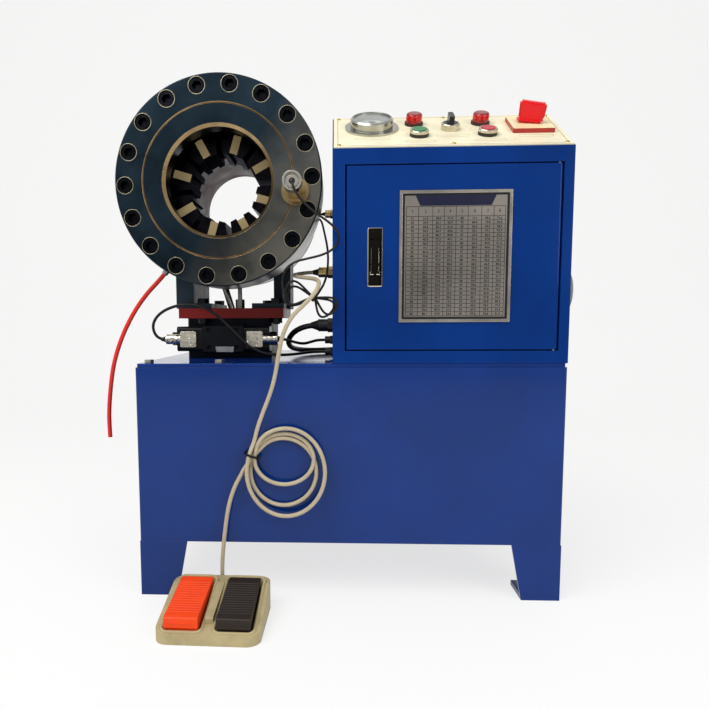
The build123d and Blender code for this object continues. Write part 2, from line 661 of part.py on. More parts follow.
def gauge_needle():
    low = PANEL_THICKNESS + 5
    hub = standing(4.0, low, low + 3.5)
    tip = GAUGE_NEEDLE_LENGTH
    outline = Polyline((-7, -1.6), (-7, 1.6), (tip, 0.5), (tip, -0.5), close=True)
    pointer = Pos(0, 0, low + 1) * extrude(make_face(outline), 1.2)
    bore = standing(1.5 + RUNNING_FIT, low - 1, low + 6)
    return on_panel(GAUGE_PLACE) * Rot(0, 0, 225) * (hub + pointer - bore)


def gauge_glass():
    top = PANEL_THICKNESS + GAUGE_FLANGE_THICKNESS + GAUGE_HEIGHT
    return on_panel(GAUGE_PLACE) * standing(GAUGE_GLASS_RADIUS - FIT_GAP, top - 4.5, top - 2)


def control_bezel():
    """Round bezel of a push-button or selector, with its stem through the panel."""
    ring = standing(BEZEL_RADIUS, PANEL_THICKNESS, PANEL_THICKNESS + BEZEL_HEIGHT)
    ring = chamfer(ring.edges().group_by(Axis.Z)[-1], 1.2)
    stem = standing(CONTROL_STEM_RADIUS, -CONTROL_STEM_DEPTH, PANEL_THICKNESS)
    well = standing(BEZEL_BORE, PANEL_THICKNESS + 1, PANEL_THICKNESS + BEZEL_HEIGHT + 1)
    return ring + stem - well


def lamp_base():
    ring = standing(BEZEL_RADIUS, PANEL_THICKNESS, PANEL_THICKNESS + LAMP_BASE_HEIGHT)
    return ring + standing(CONTROL_STEM_RADIUS, -CONTROL_STEM_DEPTH, PANEL_THICKNESS)


def panel_bezels():
    bezels = [on_panel(place) * control_bezel() for place in (GREEN_PLACE, RED_PLACE, SELECTOR_PLACE)]
    return bezels + [on_panel(place) * lamp_base() for place in LAMP_PLACES]


def lamp_lenses():
    low = PANEL_THICKNESS + LAMP_BASE_HEIGHT
    lens = standing(LAMP_LENS_RADIUS, low, low + LAMP_LENS_HEIGHT)
    lens = fillet(lens.edges().group_by(Axis.Z)[-1], 4.0)
    return [on_panel(place) * lens for place in LAMP_PLACES]


def push_button(place):
    low = PANEL_THICKNESS + 1 + BUTTON_TRAVEL + BUTTON_GAP
    cap = standing(BEZEL_BORE - BUTTON_GAP, low, PANEL_THICKNESS + BEZEL_HEIGHT + 1)
    return on_panel(place) * chamfer(cap.edges().group_by(Axis.Z)[-1], 0.8)


def selector_lever():
    low = PANEL_THICKNESS + 1 + BUTTON_GAP
    base = standing(BEZEL_BORE - BUTTON_GAP, low, PANEL_THICKNESS + BEZEL_HEIGHT)
    z0 = PANEL_THICKNESS + BEZEL_HEIGHT + BUTTON_GAP
    grip = Pos(0, 0, z0 + SELECTOR_LEVER_HEIGHT / 2) * Box(
        SELECTOR_LEVER_LENGTH, SELECTOR_LEVER_WIDTH, SELECTOR_LEVER_HEIGHT)
    grip = fillet(grip.edges().filter_by(Axis.Z), 3.0)
    neck = standing(SELECTOR_LEVER_WIDTH / 2, low, z0 + 1)
    return on_panel(SELECTOR_PLACE) * Rot(0, 0, 90) * (base + neck + grip)


def switch_plate():
    plate = Pos(0, 0, PANEL_THICKNESS + SWITCH_PLATE_HEIGHT / 2) * Box(
        SWITCH_PLATE_SIZE, SWITCH_PLATE_SIZE, SWITCH_PLATE_HEIGHT)
    plate = fillet(plate.edges().filter_by(Axis.Z), 3.0)
    stem = standing(CONTROL_STEM_RADIUS, -2 * CONTROL_STEM_DEPTH, PANEL_THICKNESS)
    box = Pos(0, 0, -1.5 * CONTROL_STEM_DEPTH) * Box(50, 50, CONTROL_STEM_DEPTH)
    return on_panel(SWITCH_PLACE) * (plate + stem + box)


def switch_handle():
    low = PANEL_THICKNESS + SWITCH_PLATE_HEIGHT + BUTTON_GAP
    ring = standing(SWITCH_RING_RADIUS, low, low + SWITCH_RING_HEIGHT)
    ring = chamfer(ring.edges().group_by(Axis.Z)[-1], 1.5)
    z0 = low + SWITCH_RING_HEIGHT
    outline = Polyline((-SWITCH_HANDLE_LENGTH / 2, 0), (SWITCH_HANDLE_LENGTH / 2, 0),
                       (SWITCH_HANDLE_LENGTH / 2, SWITCH_HANDLE_HEIGHT * 0.55),
                       (SWITCH_HANDLE_LENGTH * 0.2, SWITCH_HANDLE_HEIGHT),
                       (-SWITCH_HANDLE_LENGTH * 0.38, SWITCH_HANDLE_HEIGHT),
                       (-SWITCH_HANDLE_LENGTH / 2, SWITCH_HANDLE_HEIGHT * 0.8), close=True)
    grip = extrude(Plane.XZ * make_face(outline), SWITCH_HANDLE_WIDTH / 2, both=True)
    grip = Pos(0, 0, z0) * grip
    return on_panel(SWITCH_PLACE) * Rot(0, 0, SWITCH_HANDLE_TURN_DEG) * (ring + grip)


# Electrical gear inside the cabinet
def mounting_panel():
    plate = block(GEAR_LEFT, GEAR_RIGHT, PLATE_Y - GEAR_PLATE_THICKNESS, PLATE_Y, GEAR_BOTTOM, GEAR_TOP)
    for x in (GEAR_LEFT + GEAR_SPACER_INSET, GEAR_RIGHT - GEAR_SPACER_INSET):
        for z in (GEAR_BOTTOM + GEAR_SPACER_INSET, GEAR_TOP - GEAR_SPACER_INSET):
            plate += rod_y(x, z, GEAR_SPACER_RADIUS, PLATE_Y, CABINET_REAR - CABINET_WALL)
    for z in (GEAR_BOTTOM + LOW_RAIL_RISE, GEAR_TOP - TOP_RAIL_DROP):
        plate += block(GEAR_LEFT + RAIL_INSET, GEAR_RIGHT - RAIL_INSET, PLATE_Y - RAIL_PROUD, PLATE_Y,
                       z - RAIL_WIDTH / 2, z + RAIL_WIDTH / 2)
    return plate


def on_rail(from_left, width, depth, z, height):
    """Device body clipped on a rail, centred on the rail's height."""
    rail = PLATE_Y - RAIL_PROUD
    x0 = GEAR_LEFT + from_left
    return block(x0, x0 + width, rail - depth, rail, z - height / 2, z + height / 2)


def contactor(from_left, z):
    """Contactor with its terminals stepped back at the top and the bottom."""
    body = on_rail(from_left, CONTACTOR_WIDTH, CONTACTOR_DEPTH, z, CONTACTOR_HEIGHT)
    front = PLATE_Y - RAIL_PROUD - CONTACTOR_DEPTH
    x0 = GEAR_LEFT + from_left
    for side in (-1, 1):
        outer = z + side * (CONTACTOR_HEIGHT / 2 + 1)
        inner = z + side * (CONTACTOR_HEIGHT / 2 - CONTACTOR_STEP)
        body -= block(x0 - 1, x0 + CONTACTOR_WIDTH + 1, front - 1, front + CONTACTOR_STEP_DEPTH,
                      min(outer, inner), max(outer, inner))
    return body


def terminal_strip(z):
    """Row of terminals parted by slots."""
    strip = on_rail(TERMINAL_FROM_LEFT, TERMINAL_COUNT * TERMINAL_PITCH, TERMINAL_DEPTH, z, TERMINAL_HEIGHT)
    front = PLATE_Y - RAIL_PROUD - TERMINAL_DEPTH
    half = TERMINAL_HEIGHT / 2 + 1
    for index in range(1, TERMINAL_COUNT):
        x = GEAR_LEFT + TERMINAL_FROM_LEFT + index * TERMINAL_PITCH
        strip -= block(x - TERMINAL_SLOT / 2, x + TERMINAL_SLOT / 2, front - 1, front + TERMINAL_SLOT_DEPTH,
                       z - half, z + half)
    return strip


def switchgear():
    z_top = GEAR_TOP - TOP_RAIL_DROP
    solids = []
    for index in range(CONTACTOR_COUNT):
        solids.append(contactor(CONTACTOR_FROM_LEFT + index * CONTACTOR_PITCH, z_top))
    solids.append(on_rail(RELAY_FROM_LEFT, RELAY_WIDTH, RELAY_DEPTH, z_top, RELAY_HEIGHT))
    solids.append(terminal_strip(GEAR_BOTTOM + LOW_RAIL_RISE))
    return solids


# Crimping head
def screw_places():
    for index in range(SCREW_COUNT):
        angle = math.radians(SCREW_START_DEG + index * 360 / SCREW_COUNT)
        yield (HEAD_X + SCREW_CIRCLE_RADIUS * math.cos(angle),
               HEAD_Z + SCREW_CIRCLE_RADIUS * math.sin(angle))


def head_flange():
    inner = JOINT_RADIUS
    cut = JOINT_CHAMFER
    ring = turned_about_y(HEAD_X, HEAD_Z, (
        (inner + cut, FLANGE_FRONT), (FLANGE_RADIUS - 2, FLANGE_FRONT), (FLANGE_RADIUS, FLANGE_FRONT + 2),
        (FLANGE_RADIUS, FLANGE_BACK), (inner, FLANGE_BACK), (inner, FLANGE_FRONT + cut)))
    for x, z in screw_places():
        ring -= rod_y(x, z, COUNTERBORE_RADIUS, FLANGE_FRONT - 1, FLANGE_FRONT + COUNTERBORE_DEPTH)
        ring -= rod_y(x, z, SCREW_RADIUS + FIT_GAP, FLANGE_FRONT, FLANGE_BACK + 1)
    return ring


def octagon(inradius, y):
    """Octagon face square to the head axis, a flat facing each die."""
    face = RegularPolygon(inradius, DIE_COUNT, major_radius=False, rotation=180 / DIE_COUNT)
    return Plane(origin=(HEAD_X, y, HEAD_Z), x_dir=x_dir_of_dies(), z_dir=(0, -1, 0)) * face


def x_dir_of_dies():
    angle = math.radians(DIE_START_DEG)
    return (math.cos(angle), 0, math.sin(angle))


def flats_radius(y, toe_y, toe_radius, rise):
    return toe_radius + rise * (y - toe_y) * CONE_TAN + CONE_GAP_RADIAL


def cone_ring():
    outer = JOINT_RADIUS - FIT_GAP
    cut = JOINT_CHAMFER
    shoulder_end = FLANGE_BACK + CONE_SHOULDER_LENGTH
    throat = THROAT_RADIUS
    ring = turned_about_y(HEAD_X, HEAD_Z, (
        (throat + THROAT_CHAMFER, FLANGE_FRONT), (outer - cut, FLANGE_FRONT), (outer, FLANGE_FRONT + cut),
        (outer, FLANGE_BACK), (CONE_SHOULDER_RADIUS, FLANGE_BACK), (CONE_SHOULDER_RADIUS, shoulder_end),
        (CYLINDER_RADIUS, shoulder_end), (CYLINDER_RADIUS, CONE_REAR), (throat, CONE_REAR),
        (throat, FLANGE_FRONT + THROAT_CHAMFER)))
    front = flats_radius(CONE_THROAT_Y, DIE_FRONT, DIE_FRONT_RADIUS, 1)
    rear = flats_radius(CONE_REAR + 1, DIE_FRONT, DIE_FRONT_RADIUS, 1)
    return ring - loft([octagon(front, CONE_THROAT_Y), octagon(rear, CONE_REAR + 1)])


def head_body():
    rim = FLANGE_RADIUS
    seat = CONE_SHOULDER_RADIUS + FIT_GAP
    bore = CYLINDER_RADIUS + RUNNING_FIT
    shoulder_end = FLANGE_BACK + CONE_SHOULDER_LENGTH
    body = turned_about_y(HEAD_X, HEAD_Z, (
        (seat, FLANGE_BACK), (rim, FLANGE_BACK), (rim, BODY_STEP), (BODY_RADIUS, BODY_STEP + 6),
        (BODY_RADIUS, REAR_COVER_FACE), (bore, REAR_COVER_FACE), (bore, shoulder_end), (seat, shoulder_end)))
    for x, z in screw_places():
        body -= rod_y(x, z, SCREW_RADIUS + FIT_GAP, FLANGE_BACK - 1, FLANGE_FRONT + SCREW_LENGTH)
    return body


def rear_cover():
    """Rear disc of the cylinder with the guide tube that runs forward inside the piston."""
    return turned_about_y(HEAD_X, HEAD_Z, (
        (GUIDE_BORE_RADIUS, GUIDE_FRONT), (GUIDE_RADIUS, GUIDE_FRONT), (GUIDE_RADIUS, REAR_COVER_FACE),
        (BODY_RADIUS, REAR_COVER_FACE), (BODY_RADIUS, REAR_END - 3), (BODY_RADIUS - 3, REAR_END),
        (GUIDE_BORE_RADIUS, REAR_END)))


def flange_screws():
    top = FLANGE_FRONT + COUNTERBORE_DEPTH - SCREW_HEAD_HEIGHT
    screws = []
    for x, z in screw_places():
        head = rod_y(x, z, SCREW_HEAD_RADIUS, top, top + SCREW_HEAD_HEIGHT)
        shank = rod_y(x, z, SCREW_RADIUS, top + SCREW_HEAD_HEIGHT, FLANGE_FRONT + SCREW_LENGTH - 2)
        socket = Pos(x, top, z) * Rot(90, 0, 0) * extrude(RegularPolygon(SOCKET_RADIUS, 6), -SOCKET_DEPTH)
        screws.append(head + shank - socket)
    return screws


def piston():
    """Ring piston with the rear cone's eight flats cut into its front."""
    bore = GUIDE_RADIUS + RUNNING_FIT
    rear = REAR_COVER_FACE - BUTTON_GAP
    ring = turned_about_y(HEAD_X, HEAD_Z, (
        (bore, PISTON_FRONT), (CYLINDER_RADIUS, PISTON_FRONT), (CYLINDER_RADIUS, rear - 3),
        (CYLINDER_RADIUS - 3, rear), (bore, rear)))
    front = flats_radius(PISTON_FRONT - 1, DIE_REAR, DIE_FRONT_RADIUS, -1)
    back = flats_radius(CAVITY_END, DIE_REAR, DIE_FRONT_RADIUS, -1)
    return ring - loft([octagon(front, PISTON_FRONT - 1), octagon(back, CAVITY_END)])


def master_die(index):
    """One wedge of the die set, drawn upright over the axis and then turned to its place."""
    side = Polyline((DIE_FRONT, DIE_OPEN_RADIUS), (DIE_FRONT, DIE_FRONT_RADIUS),
                    (DIE_RIDGE, DIE_RIDGE_RADIUS), (DIE_REAR, DIE_FRONT_RADIUS),
                    (DIE_REAR, DIE_OPEN_RADIUS), close=True)
    bar = extrude(Plane.YZ * make_face(side), DIE_RIDGE_RADIUS, both=True)
    half_turn = math.pi / DIE_COUNT
    low = DIE_OPEN_RADIUS - 1
    high = DIE_RIDGE_RADIUS + 1
    pull = DIE_SIDE_GAP / 2 / math.cos(half_turn)
    x_low = low * math.tan(half_turn) - pull
    x_high = high * math.tan(half_turn) - pull
    wedge = Polyline((-x_low, low), (x_low, low), (x_high, high), (-x_high, high), close=True)
    wedge = extrude(Plane.XZ * make_face(wedge), DIE_LENGTH * 2, both=True)
    die = bar & wedge
    half = DIE_SLOT_WIDTH / 2
    die -= block(-half, half, DIE_FRONT - 1, DIE_FRONT + DIE_SLOT_DEPTH, DIE_SLOT_INNER, DIE_SLOT_OUTER)
    die -= block(-half, half, DIE_FRONT - 1, DIE_REAR + 1, DIE_OPEN_RADIUS - 1, DIE_OPEN_RADIUS + DIE_GROOVE_DEPTH)
    turn = 90 - (DIE_START_DEG + index * 360 / DIE_COUNT)
    return Pos(HEAD_X, 0, HEAD_Z) * Rot(0, turn, 0) * die


# Stand, plate, manifold and valve under the head
def head_stand():
    barrel = rod_y(HEAD_X, HEAD_Z, BODY_RADIUS, BODY_STEP + 6, STAND_REAR + 10)
    nose = rod_y(HEAD_X, HEAD_Z, FLANGE_RADIUS, FLANGE_FRONT, BODY_STEP)
    solids = []
    for side, front in ((-1, LEFT_LEG_FRONT), (1, RIGHT_LEG_FRONT)):
        inner = HEAD_X + side * STAND_LEG_OFFSET
        outer = inner + side * STAND_LEG_THICKNESS
        top = HEAD_Z - STAND_SADDLE_DROP
        leg_plate = block(min(inner, outer), max(inner, outer), front, STAND_REAR, PLATE_TOP, top)
        edge = PLATE_LEFT if side < 0 else PLATE_RIGHT
        other = edge - side * STAND_FOOT_WIDTH
        foot = block(min(edge, other), max(edge, other), STAND_FRONT, STAND_REAR, PLATE_TOP, FOOT_TOP)
        shape = leg_plate + foot - barrel - nose
        for x, y in stand_bolt_places():
            shape -= rod_z(x, y, STAND_BOLT_RADIUS + FIT_GAP, PLATE_TOP - 1, FOOT_TOP + 1)
        solids.append(shape)
    return solids


def stand_bolt_places():
    left = PLATE_LEFT + 14.0
    right = PLATE_RIGHT - 14.0
    front = STAND_FRONT + 8.0
    rear = STAND_REAR - 14.0
    return ((left + 27.0, front), (right, front), (left + 31.0, rear), (right - 31.0, rear))


def mount_plate():
    plate = block(PLATE_LEFT, PLATE_RIGHT, PLATE_FRONT, PLATE_REAR, PLATE_BOTTOM, PLATE_TOP)
    for x, y in stand_bolt_places():
        plate -= rod_z(x, y, STAND_BOLT_RADIUS + FIT_GAP, PLATE_BOTTOM - 1, PLATE_TOP + 1)
    return plate


def stand_bolts():
    """Four bolts through the stand's feet; the front pair have nuts under the plate."""
    bolts = []
    for x, y in stand_bolt_places():
        low = PLATE_BOTTOM + 2.0
        head = hex_z(x, y, 1.7 * STAND_BOLT_RADIUS, FOOT_TOP, FOOT_TOP + 9.0)
        if y < MANIFOLD_FRONT:
            low = PLATE_BOTTOM - 11.0
            head += hex_z(x, y, 1.7 * STAND_BOLT_RADIUS, PLATE_BOTTOM - 9.0, PLATE_BOTTOM)
        bolts.append(head + rod_z(x, y, STAND_BOLT_RADIUS, low, FOOT_TOP))
    return bolts


def manifold_block():
    body = block(MANIFOLD_LEFT, MANIFOLD_RIGHT, MANIFOLD_FRONT, MANIFOLD_REAR, COVER_TOP, PLATE_BOTTOM)
    return chamfer(body.edges().filter_by(Axis.Z), 3.0)


def valve_body():
    front = MANIFOLD_FRONT - VALVE_DEPTH
    top = VALVE_BOTTOM + VALVE_HEIGHT
    body = block(VALVE_LEFT, VALVE_RIGHT, front, MANIFOLD_FRONT, VALVE_BOTTOM, top)
    body = chamfer(body.edges().filter_by(Axis.X), 2.0)
    for x in (VALVE_LEFT + 12, VALVE_RIGHT - 12):
        for z in (VALVE_BOTTOM + 9, top - 9):
            body -= rod_y(x, z, 4.5, front - 1, front + 5)
    return body


def coil_axis():
    return MANIFOLD_FRONT - VALVE_DEPTH / 2, VALVE_BOTTOM + VALVE_HEIGHT / 2


def solenoids():
    y, z = coil_axis()
    half = COIL_SIZE / 2
    solids = []
    for side, face in ((-1, VALVE_LEFT), (1, VALVE_RIGHT)):
        end = face + side * COIL_LENGTH
        body = block(min(face, end), max(face, end), y - half, y + half, z - half, z + half)
        body = fillet(body.edges().filter_by(Axis.X), 6.0)
        cap = end + side * 12.0
        solids.append(body + rod_x(y, z, 12.0, min(end, cap), max(end, cap)))
    return solids


def connectors():
    """Cable plugs on the fronts of the two coils, their glands pointing outwards."""
    y, z = coil_axis()
    back = y - COIL_SIZE / 2
    front = back - CONNECTOR_DEPTH
    half = CONNECTOR_SIZE / 2
    solids = []
    for side, face in ((-1, VALVE_LEFT), (1, VALVE_RIGHT)):
        inner = face + side * 8.0
        outer = inner + side * CONNECTOR_LENGTH
        tip = outer + side * CONNECTOR_GLAND_LENGTH
        body = block(min(inner, outer), max(inner, outer), front, back, z - half, z + half)
        body = fillet(body.edges().filter_by(Axis.Y), 3.0)
        gland = rod_x((front + back) / 2, z, CONNECTOR_GLAND_RADIUS, min(outer, tip), max(outer, tip))
        solids.append(body + gland)
    return solids


def proximity_sensor():
    """Nut on the flange, threaded barrel and a hollow cap that the cable leaves."""
    x = HEAD_X + SENSOR_OFFSET[0]
    z = HEAD_Z + SENSOR_OFFSET[1]
    face = FLANGE_FRONT
    tip = face - SENSOR_REACH
    washer = rod_y(x, z, SENSOR_WASHER_RADIUS, face - SENSOR_WASHER_THICKNESS, face)
    nut_face = face - SENSOR_WASHER_THICKNESS
    nut = Pos(x, nut_face, z) * Rot(90, 0, 0) * extrude(RegularPolygon(17.0, 6), 9.0)
    barrel = rod_y(x, z, SENSOR_BODY_RADIUS, tip + 4, nut_face)
    cap = rod_y(x, z, SENSOR_CAP_RADIUS, tip, tip + SENSOR_CAP_LENGTH)
    cap -= rod_y(x, z, SENSOR_CAP_RADIUS - 2.5, tip - 1, tip + SENSOR_CAP_LENGTH - 4)
    return washer + nut + cap + barrel


def pressure_pipe():
    """Steel pipe and a black elbow stem between the plate and the underside of the head."""
    low = (HEAD_X + PIPE_FOOT_OFFSET, PIPE_Y, PLATE_TOP)
    high_z = HEAD_Z - math.sqrt(BODY_RADIUS ** 2 - PIPE_TOP_OFFSET ** 2)
    top = Vector(HEAD_X + PIPE_TOP_OFFSET, PIPE_Y, high_z)
    way = top - Vector(*low)
    start = Vector(*low) - way * 0.2
    section = Plane(origin=tuple(start), z_dir=tuple(way)) * Circle(PIPE_RADIUS)
    pipe = extrude(section, amount=way.length * 1.5, dir=way)
    pipe -= rod_y(HEAD_X, HEAD_Z, BODY_RADIUS, STAND_FRONT, STAND_REAR)
    pipe -= block(PLATE_LEFT, PLATE_RIGHT, PLATE_FRONT, PLATE_REAR, PLATE_BOTTOM, PLATE_TOP)
    x = HEAD_X + STEM_OFFSET
    top_z = HEAD_Z - math.sqrt(BODY_RADIUS ** 2 - STEM_OFFSET ** 2)
    nut = hex_z(x, PIPE_Y, FITTING_RADIUS, PLATE_TOP, PLATE_TOP + FITTING_HEIGHT)
    stem = rod_z(x, PIPE_Y, STEM_RADIUS, PLATE_TOP + FITTING_HEIGHT, top_z + 2)
    stem -= rod_y(HEAD_X, HEAD_Z, BODY_RADIUS, STAND_FRONT, STAND_REAR)
    return [pipe, nut + stem]


# Cable glands
def cable_glands():
    glands = []
    for y, height, radius, reach in GLANDS:
        z = COVER_TOP + height
        x0 = CABINET_LEFT - reach
        nut = hex_x(y, z, radius * 1.15, CABINET_LEFT - reach * 0.35, CABINET_LEFT)
        dome = rod_x(y, z, radius, x0, CABINET_LEFT - reach * 0.35)
        neck = rod_x(y, z, radius * GLAND_BORE_SHARE, CABINET_LEFT, CABINET_LEFT + CABINET_WALL + 6)
        glands.append(nut + dome + neck)
    return glands


# Motor and pump
def motor():
    z0 = COVER_TOP
    z1 = z0 + MOTOR_FLANGE_THICKNESS
    shape = rod_z(MOTOR_X, MOTOR_Y, MOTOR_FLANGE_RADIUS, z0, z1)
    shape += rod_z(MOTOR_X, MOTOR_Y, MOTOR_RADIUS, z1, MOTOR_TOP)
    for index in range(MOTOR_FIN_COUNT):
        angle = index * 360 / MOTOR_FIN_COUNT
        fin = block(MOTOR_RADIUS - 2, MOTOR_RADIUS + MOTOR_FIN_HEIGHT, -1.5, 1.5, z1 + 12, MOTOR_TOP)
        shape += Pos(MOTOR_X, MOTOR_Y, 0) * Rot(0, 0, angle) * fin
    outer = MOTOR_RADIUS + MOTOR_FIN_HEIGHT + COWL_WALL
    cowl = rod_z(MOTOR_X, MOTOR_Y, outer, MOTOR_TOP, MOTOR_TOP + COWL_LENGTH)
    cowl = fillet(cowl.edges().group_by(Axis.Z)[-1], 8.0)
    cowl -= rod_z(MOTOR_X, MOTOR_Y, outer - COWL_WALL, MOTOR_TOP + 6, MOTOR_TOP + COWL_LENGTH - COWL_WALL)
    for ring in (22.0, 42.0, 62.0):
        slots = 6
        for index in range(slots):
            angle = index * 360 / slots
            slot = block(ring - 4, ring + 4, -6, 6, MOTOR_TOP + COWL_LENGTH - 6, MOTOR_TOP + COWL_LENGTH + 1)
            cowl -= Pos(MOTOR_X, MOTOR_Y, 0) * Rot(0, 0, angle) * slot
    shape += cowl
    box_x = MOTOR_X - MOTOR_RADIUS
    shape += block(box_x - 34, box_x + 10, MOTOR_Y - 45, MOTOR_Y + 45, z1 + 90, z1 + 180)
    shape -= rod_z(MOTOR_X, MOTOR_Y, MOTOR_SHAFT_RADIUS + 0.5, z0 - 1, MOTOR_TOP + 10)
    return shape


def motor_rotor():
    """Shaft from the pump coupling up to the cooling fan under the cowl."""
    low = TANK_TOP - PUMP_BELL_LENGTH + 8.0
    fan_low = MOTOR_TOP + 14.0
    shape = rod_z(MOTOR_X, MOTOR_Y, MOTOR_SHAFT_RADIUS, low, fan_low + 26.0)
    shape += rod_z(MOTOR_X, MOTOR_Y, 20.0, fan_low, fan_low + 22.0)
    shape += rod_z(MOTOR_X, MOTOR_Y, 22.0, low, low + 30.0)
    for index in range(FAN_BLADES):
        blade = block(15.0, FAN_RADIUS, -1.25, 1.25, fan_low, fan_low + 20.0)
        shape += Pos(MOTOR_X, MOTOR_Y, 0) * Rot(0, 0, index * 360 / FAN_BLADES) * blade
    return shape


def pump():
    z1 = TANK_TOP
    z0 = z1 - PUMP_BELL_LENGTH
    bell = rod_z(MOTOR_X, MOTOR_Y, PUMP_BELL_RADIUS, z0, z1)
    bell -= rod_z(MOTOR_X, MOTOR_Y, 26.0, z0 + 4.0, z1 + 1)
    half = PUMP_SIZE / 2
    body = block(MOTOR_X - half, MOTOR_X + half, MOTOR_Y - half, MOTOR_Y + half, z0 - PUMP_LENGTH, z0)
    body = fillet(body.edges().filter_by(Axis.Z), 14.0)
    z2 = z0 - PUMP_LENGTH
    suction = rod_z(MOTOR_X, MOTOR_Y, 12.0, z2 - 30.0, z2)
    strainer = rod_z(MOTOR_X, MOTOR_Y, STRAINER_RADIUS, z2 - 30.0 - STRAINER_LENGTH, z2 - 30.0)
    return bell + body + suction + strainer


# Foot switch
def switch_frame(x, y, z=0.0):
    """Location in the foot switch's own frame: x from its middle, y from its front edge."""
    return Pos(SWITCH_X, SWITCH_FRONT_Y, 0) * Rot(0, 0, SWITCH_TURN_DEG) * Pos(x, y, z)


def foot_switch_housing():
    half = SWITCH_WIDTH / 2
    base = block(-half, half, 0, SWITCH_DEPTH, 0, SWITCH_REAR_HEIGHT)
    base = fillet(base.edges().filter_by(Axis.Z), 20.0)
    over = Polyline((-1, SWITCH_FRONT_HEIGHT), (SWITCH_DEPTH * 0.8, SWITCH_REAR_HEIGHT),
                    (SWITCH_DEPTH * 0.8, SWITCH_REAR_HEIGHT + 30), (-1, SWITCH_REAR_HEIGHT + 30), close=True)
    base -= extrude(Plane.YZ * make_face(over), half + 1, both=True)
    for side in (-1, 1):
        middle = side * PEDAL_SPACING / 2
        reach = PEDAL_WIDTH / 2 + PEDAL_GAP
        y0 = PEDAL_FRONT_Y - PEDAL_GAP - 1
        y1 = PEDAL_FRONT_Y + PEDAL_LENGTH + PEDAL_GAP + 2
        base -= block(middle - reach, middle + reach, y0, y1, 5.0, SWITCH_REAR_HEIGHT + 1)
        base += rod_x(PEDAL_FRONT_Y + PEDAL_PIN_SETBACK, PEDAL_PIN_Z, PEDAL_PIN_RADIUS,
                      middle - reach - 1, middle + reach + 1)
    lug = block(SWITCH_INLET_X - 9, SWITCH_INLET_X + 9, SWITCH_DEPTH - 2, SWITCH_DEPTH + 15, 0, 12)
    boss = rod_z(SWITCH_INLET_X, SWITCH_DEPTH + 8, 6.0, 10, 34)
    return switch_frame(0, 0) * (base + lug + boss)


def pedal(side):
    """Ribbed pedal plate, hinged at its heel end and rising to the rear."""
    middle = side * PEDAL_SPACING / 2
    half = PEDAL_WIDTH / 2
    length = PEDAL_LENGTH - PEDAL_PIN_SETBACK
    plate = block(middle - half, middle + half, -PEDAL_PIN_SETBACK, length, 2.0, 2.0 + PEDAL_THICKNESS)
    plate = fillet(plate.edges().filter_by(Axis.Z), 5.0)
    pitch = (length - 10.0) / PEDAL_RIBS
    for index in range(PEDAL_RIBS):
        y = 8.0 + index * pitch
        plate += block(middle - half + 4, middle + half - 4, y, y + pitch * 0.5,
                       1.0 + PEDAL_THICKNESS, 4.0 + PEDAL_THICKNESS)
    knuckle = rod_x(0, 0, 6.0, middle - half, middle + half)
    plate = plate + knuckle - rod_x(0, 0, PEDAL_PIN_RADIUS + RUNNING_FIT, middle - half - 1, middle + half + 1)
    placed = Pos(0, PEDAL_FRONT_Y + PEDAL_PIN_SETBACK, PEDAL_PIN_Z) * Rot(PEDAL_RISE_DEG, 0, 0) * plate
    return switch_frame(0, 0) * placed


# Cords, as straight runs joined by tangent arcs
def cord_path(points):
    radii = []
    for before, corner, after in zip(points, points[1:], points[2:]):
        run_in = Vector(*corner) - Vector(*before)
        run_out = Vector(*after) - Vector(*corner)
        turn = math.radians(run_in.get_angle(run_out))
        radii.append(0.45 * min(run_in.length, run_out.length) / math.tan(turn / 2))
    return FilletPolyline(*points, radius=radii), radii


def cord_tube(name, points, diameter):
    path, radii = cord_path(points)
    section = Plane(origin=path @ 0, z_dir=path % 0) * Circle(diameter / 2)
    tube = sweep(section, path=path)
    expected = math.pi * diameter ** 2 / 4 * path.length
    print(name, "length", round(path.length), "volume share", round(tube.volume / expected, 4),
          "tightest", round(min(radii) / diameter, 1), "diameters")
    return tube


def beside_head(radius, angle_deg, y):
    """Point at a radius and an angle round the head's axis."""
    angle = math.radians(angle_deg)
    return HEAD_X + radius * math.cos(angle), y, HEAD_Z + radius * math.sin(angle)


# Routes of the cords
FOOT_CABLE_UPPER = (
    (CABINET_LEFT - 25.0, GLAND_Y, 528.0), (-64.0, GLAND_Y, 528.0), (-84.0, -84.0, 525.0),
    (-91.0, -112.0, 521.0), (-84.0, -146.0, 516.0), (-67.0, -180.0, 512.0), (-50.0, -212.0, 508.0),
    (-43.0, -238.0, 501.0), (-48.0, -256.0, 486.0), (-65.0, -261.0, 468.0), (-85.0, -258.0, 450.0),
    (-99.0, -252.0, 424.0), (-106.0, -246.0, 392.0), (-112.0, -241.0, 358.0), (-120.0, -238.5, 331.0),
    (-133.0, -237.0, 299.0), (-141.5, -237.0, 275.0), (-145.5, -237.0, 256.5),
)
FOOT_CABLE_LOWER = (
    (-160.8, -237.0, 216.0), (-167.0, -237.6, 203.5), (-178.0, -238.3, 184.0),
    (-188.0, -239.0, 153.0), (-194.0, -239.0, 112.0), (-198.0, -238.0, 77.0), (-199.65, -236.9, 54.0),
    (-199.65, -236.9, 34.0),
)
SENSOR_CABLE = (
    (-83.6, -251.3, 648.5), (-83.6, -263.0, 648.5), (-81.8, -271.0, 638.5),
    (-75.0, -270.0, 625.0), (-63.0, -266.0, 611.5), (-47.5, -261.5, 599.0), (-29.5, -256.0, 588.0),
    (-16.5, -252.0, 576.0), (-13.5, -249.0, 561.0), (-23.0, -247.0, 548.5), (-40.0, -246.0, 540.5),
    (-61.0, -245.0, 536.0), (-82.0, -243.0, 531.5), (-97.0, -241.0, 519.0), (-100.5, -238.0, 502.0),
    (-98.5, -237.0, 489.0),
)
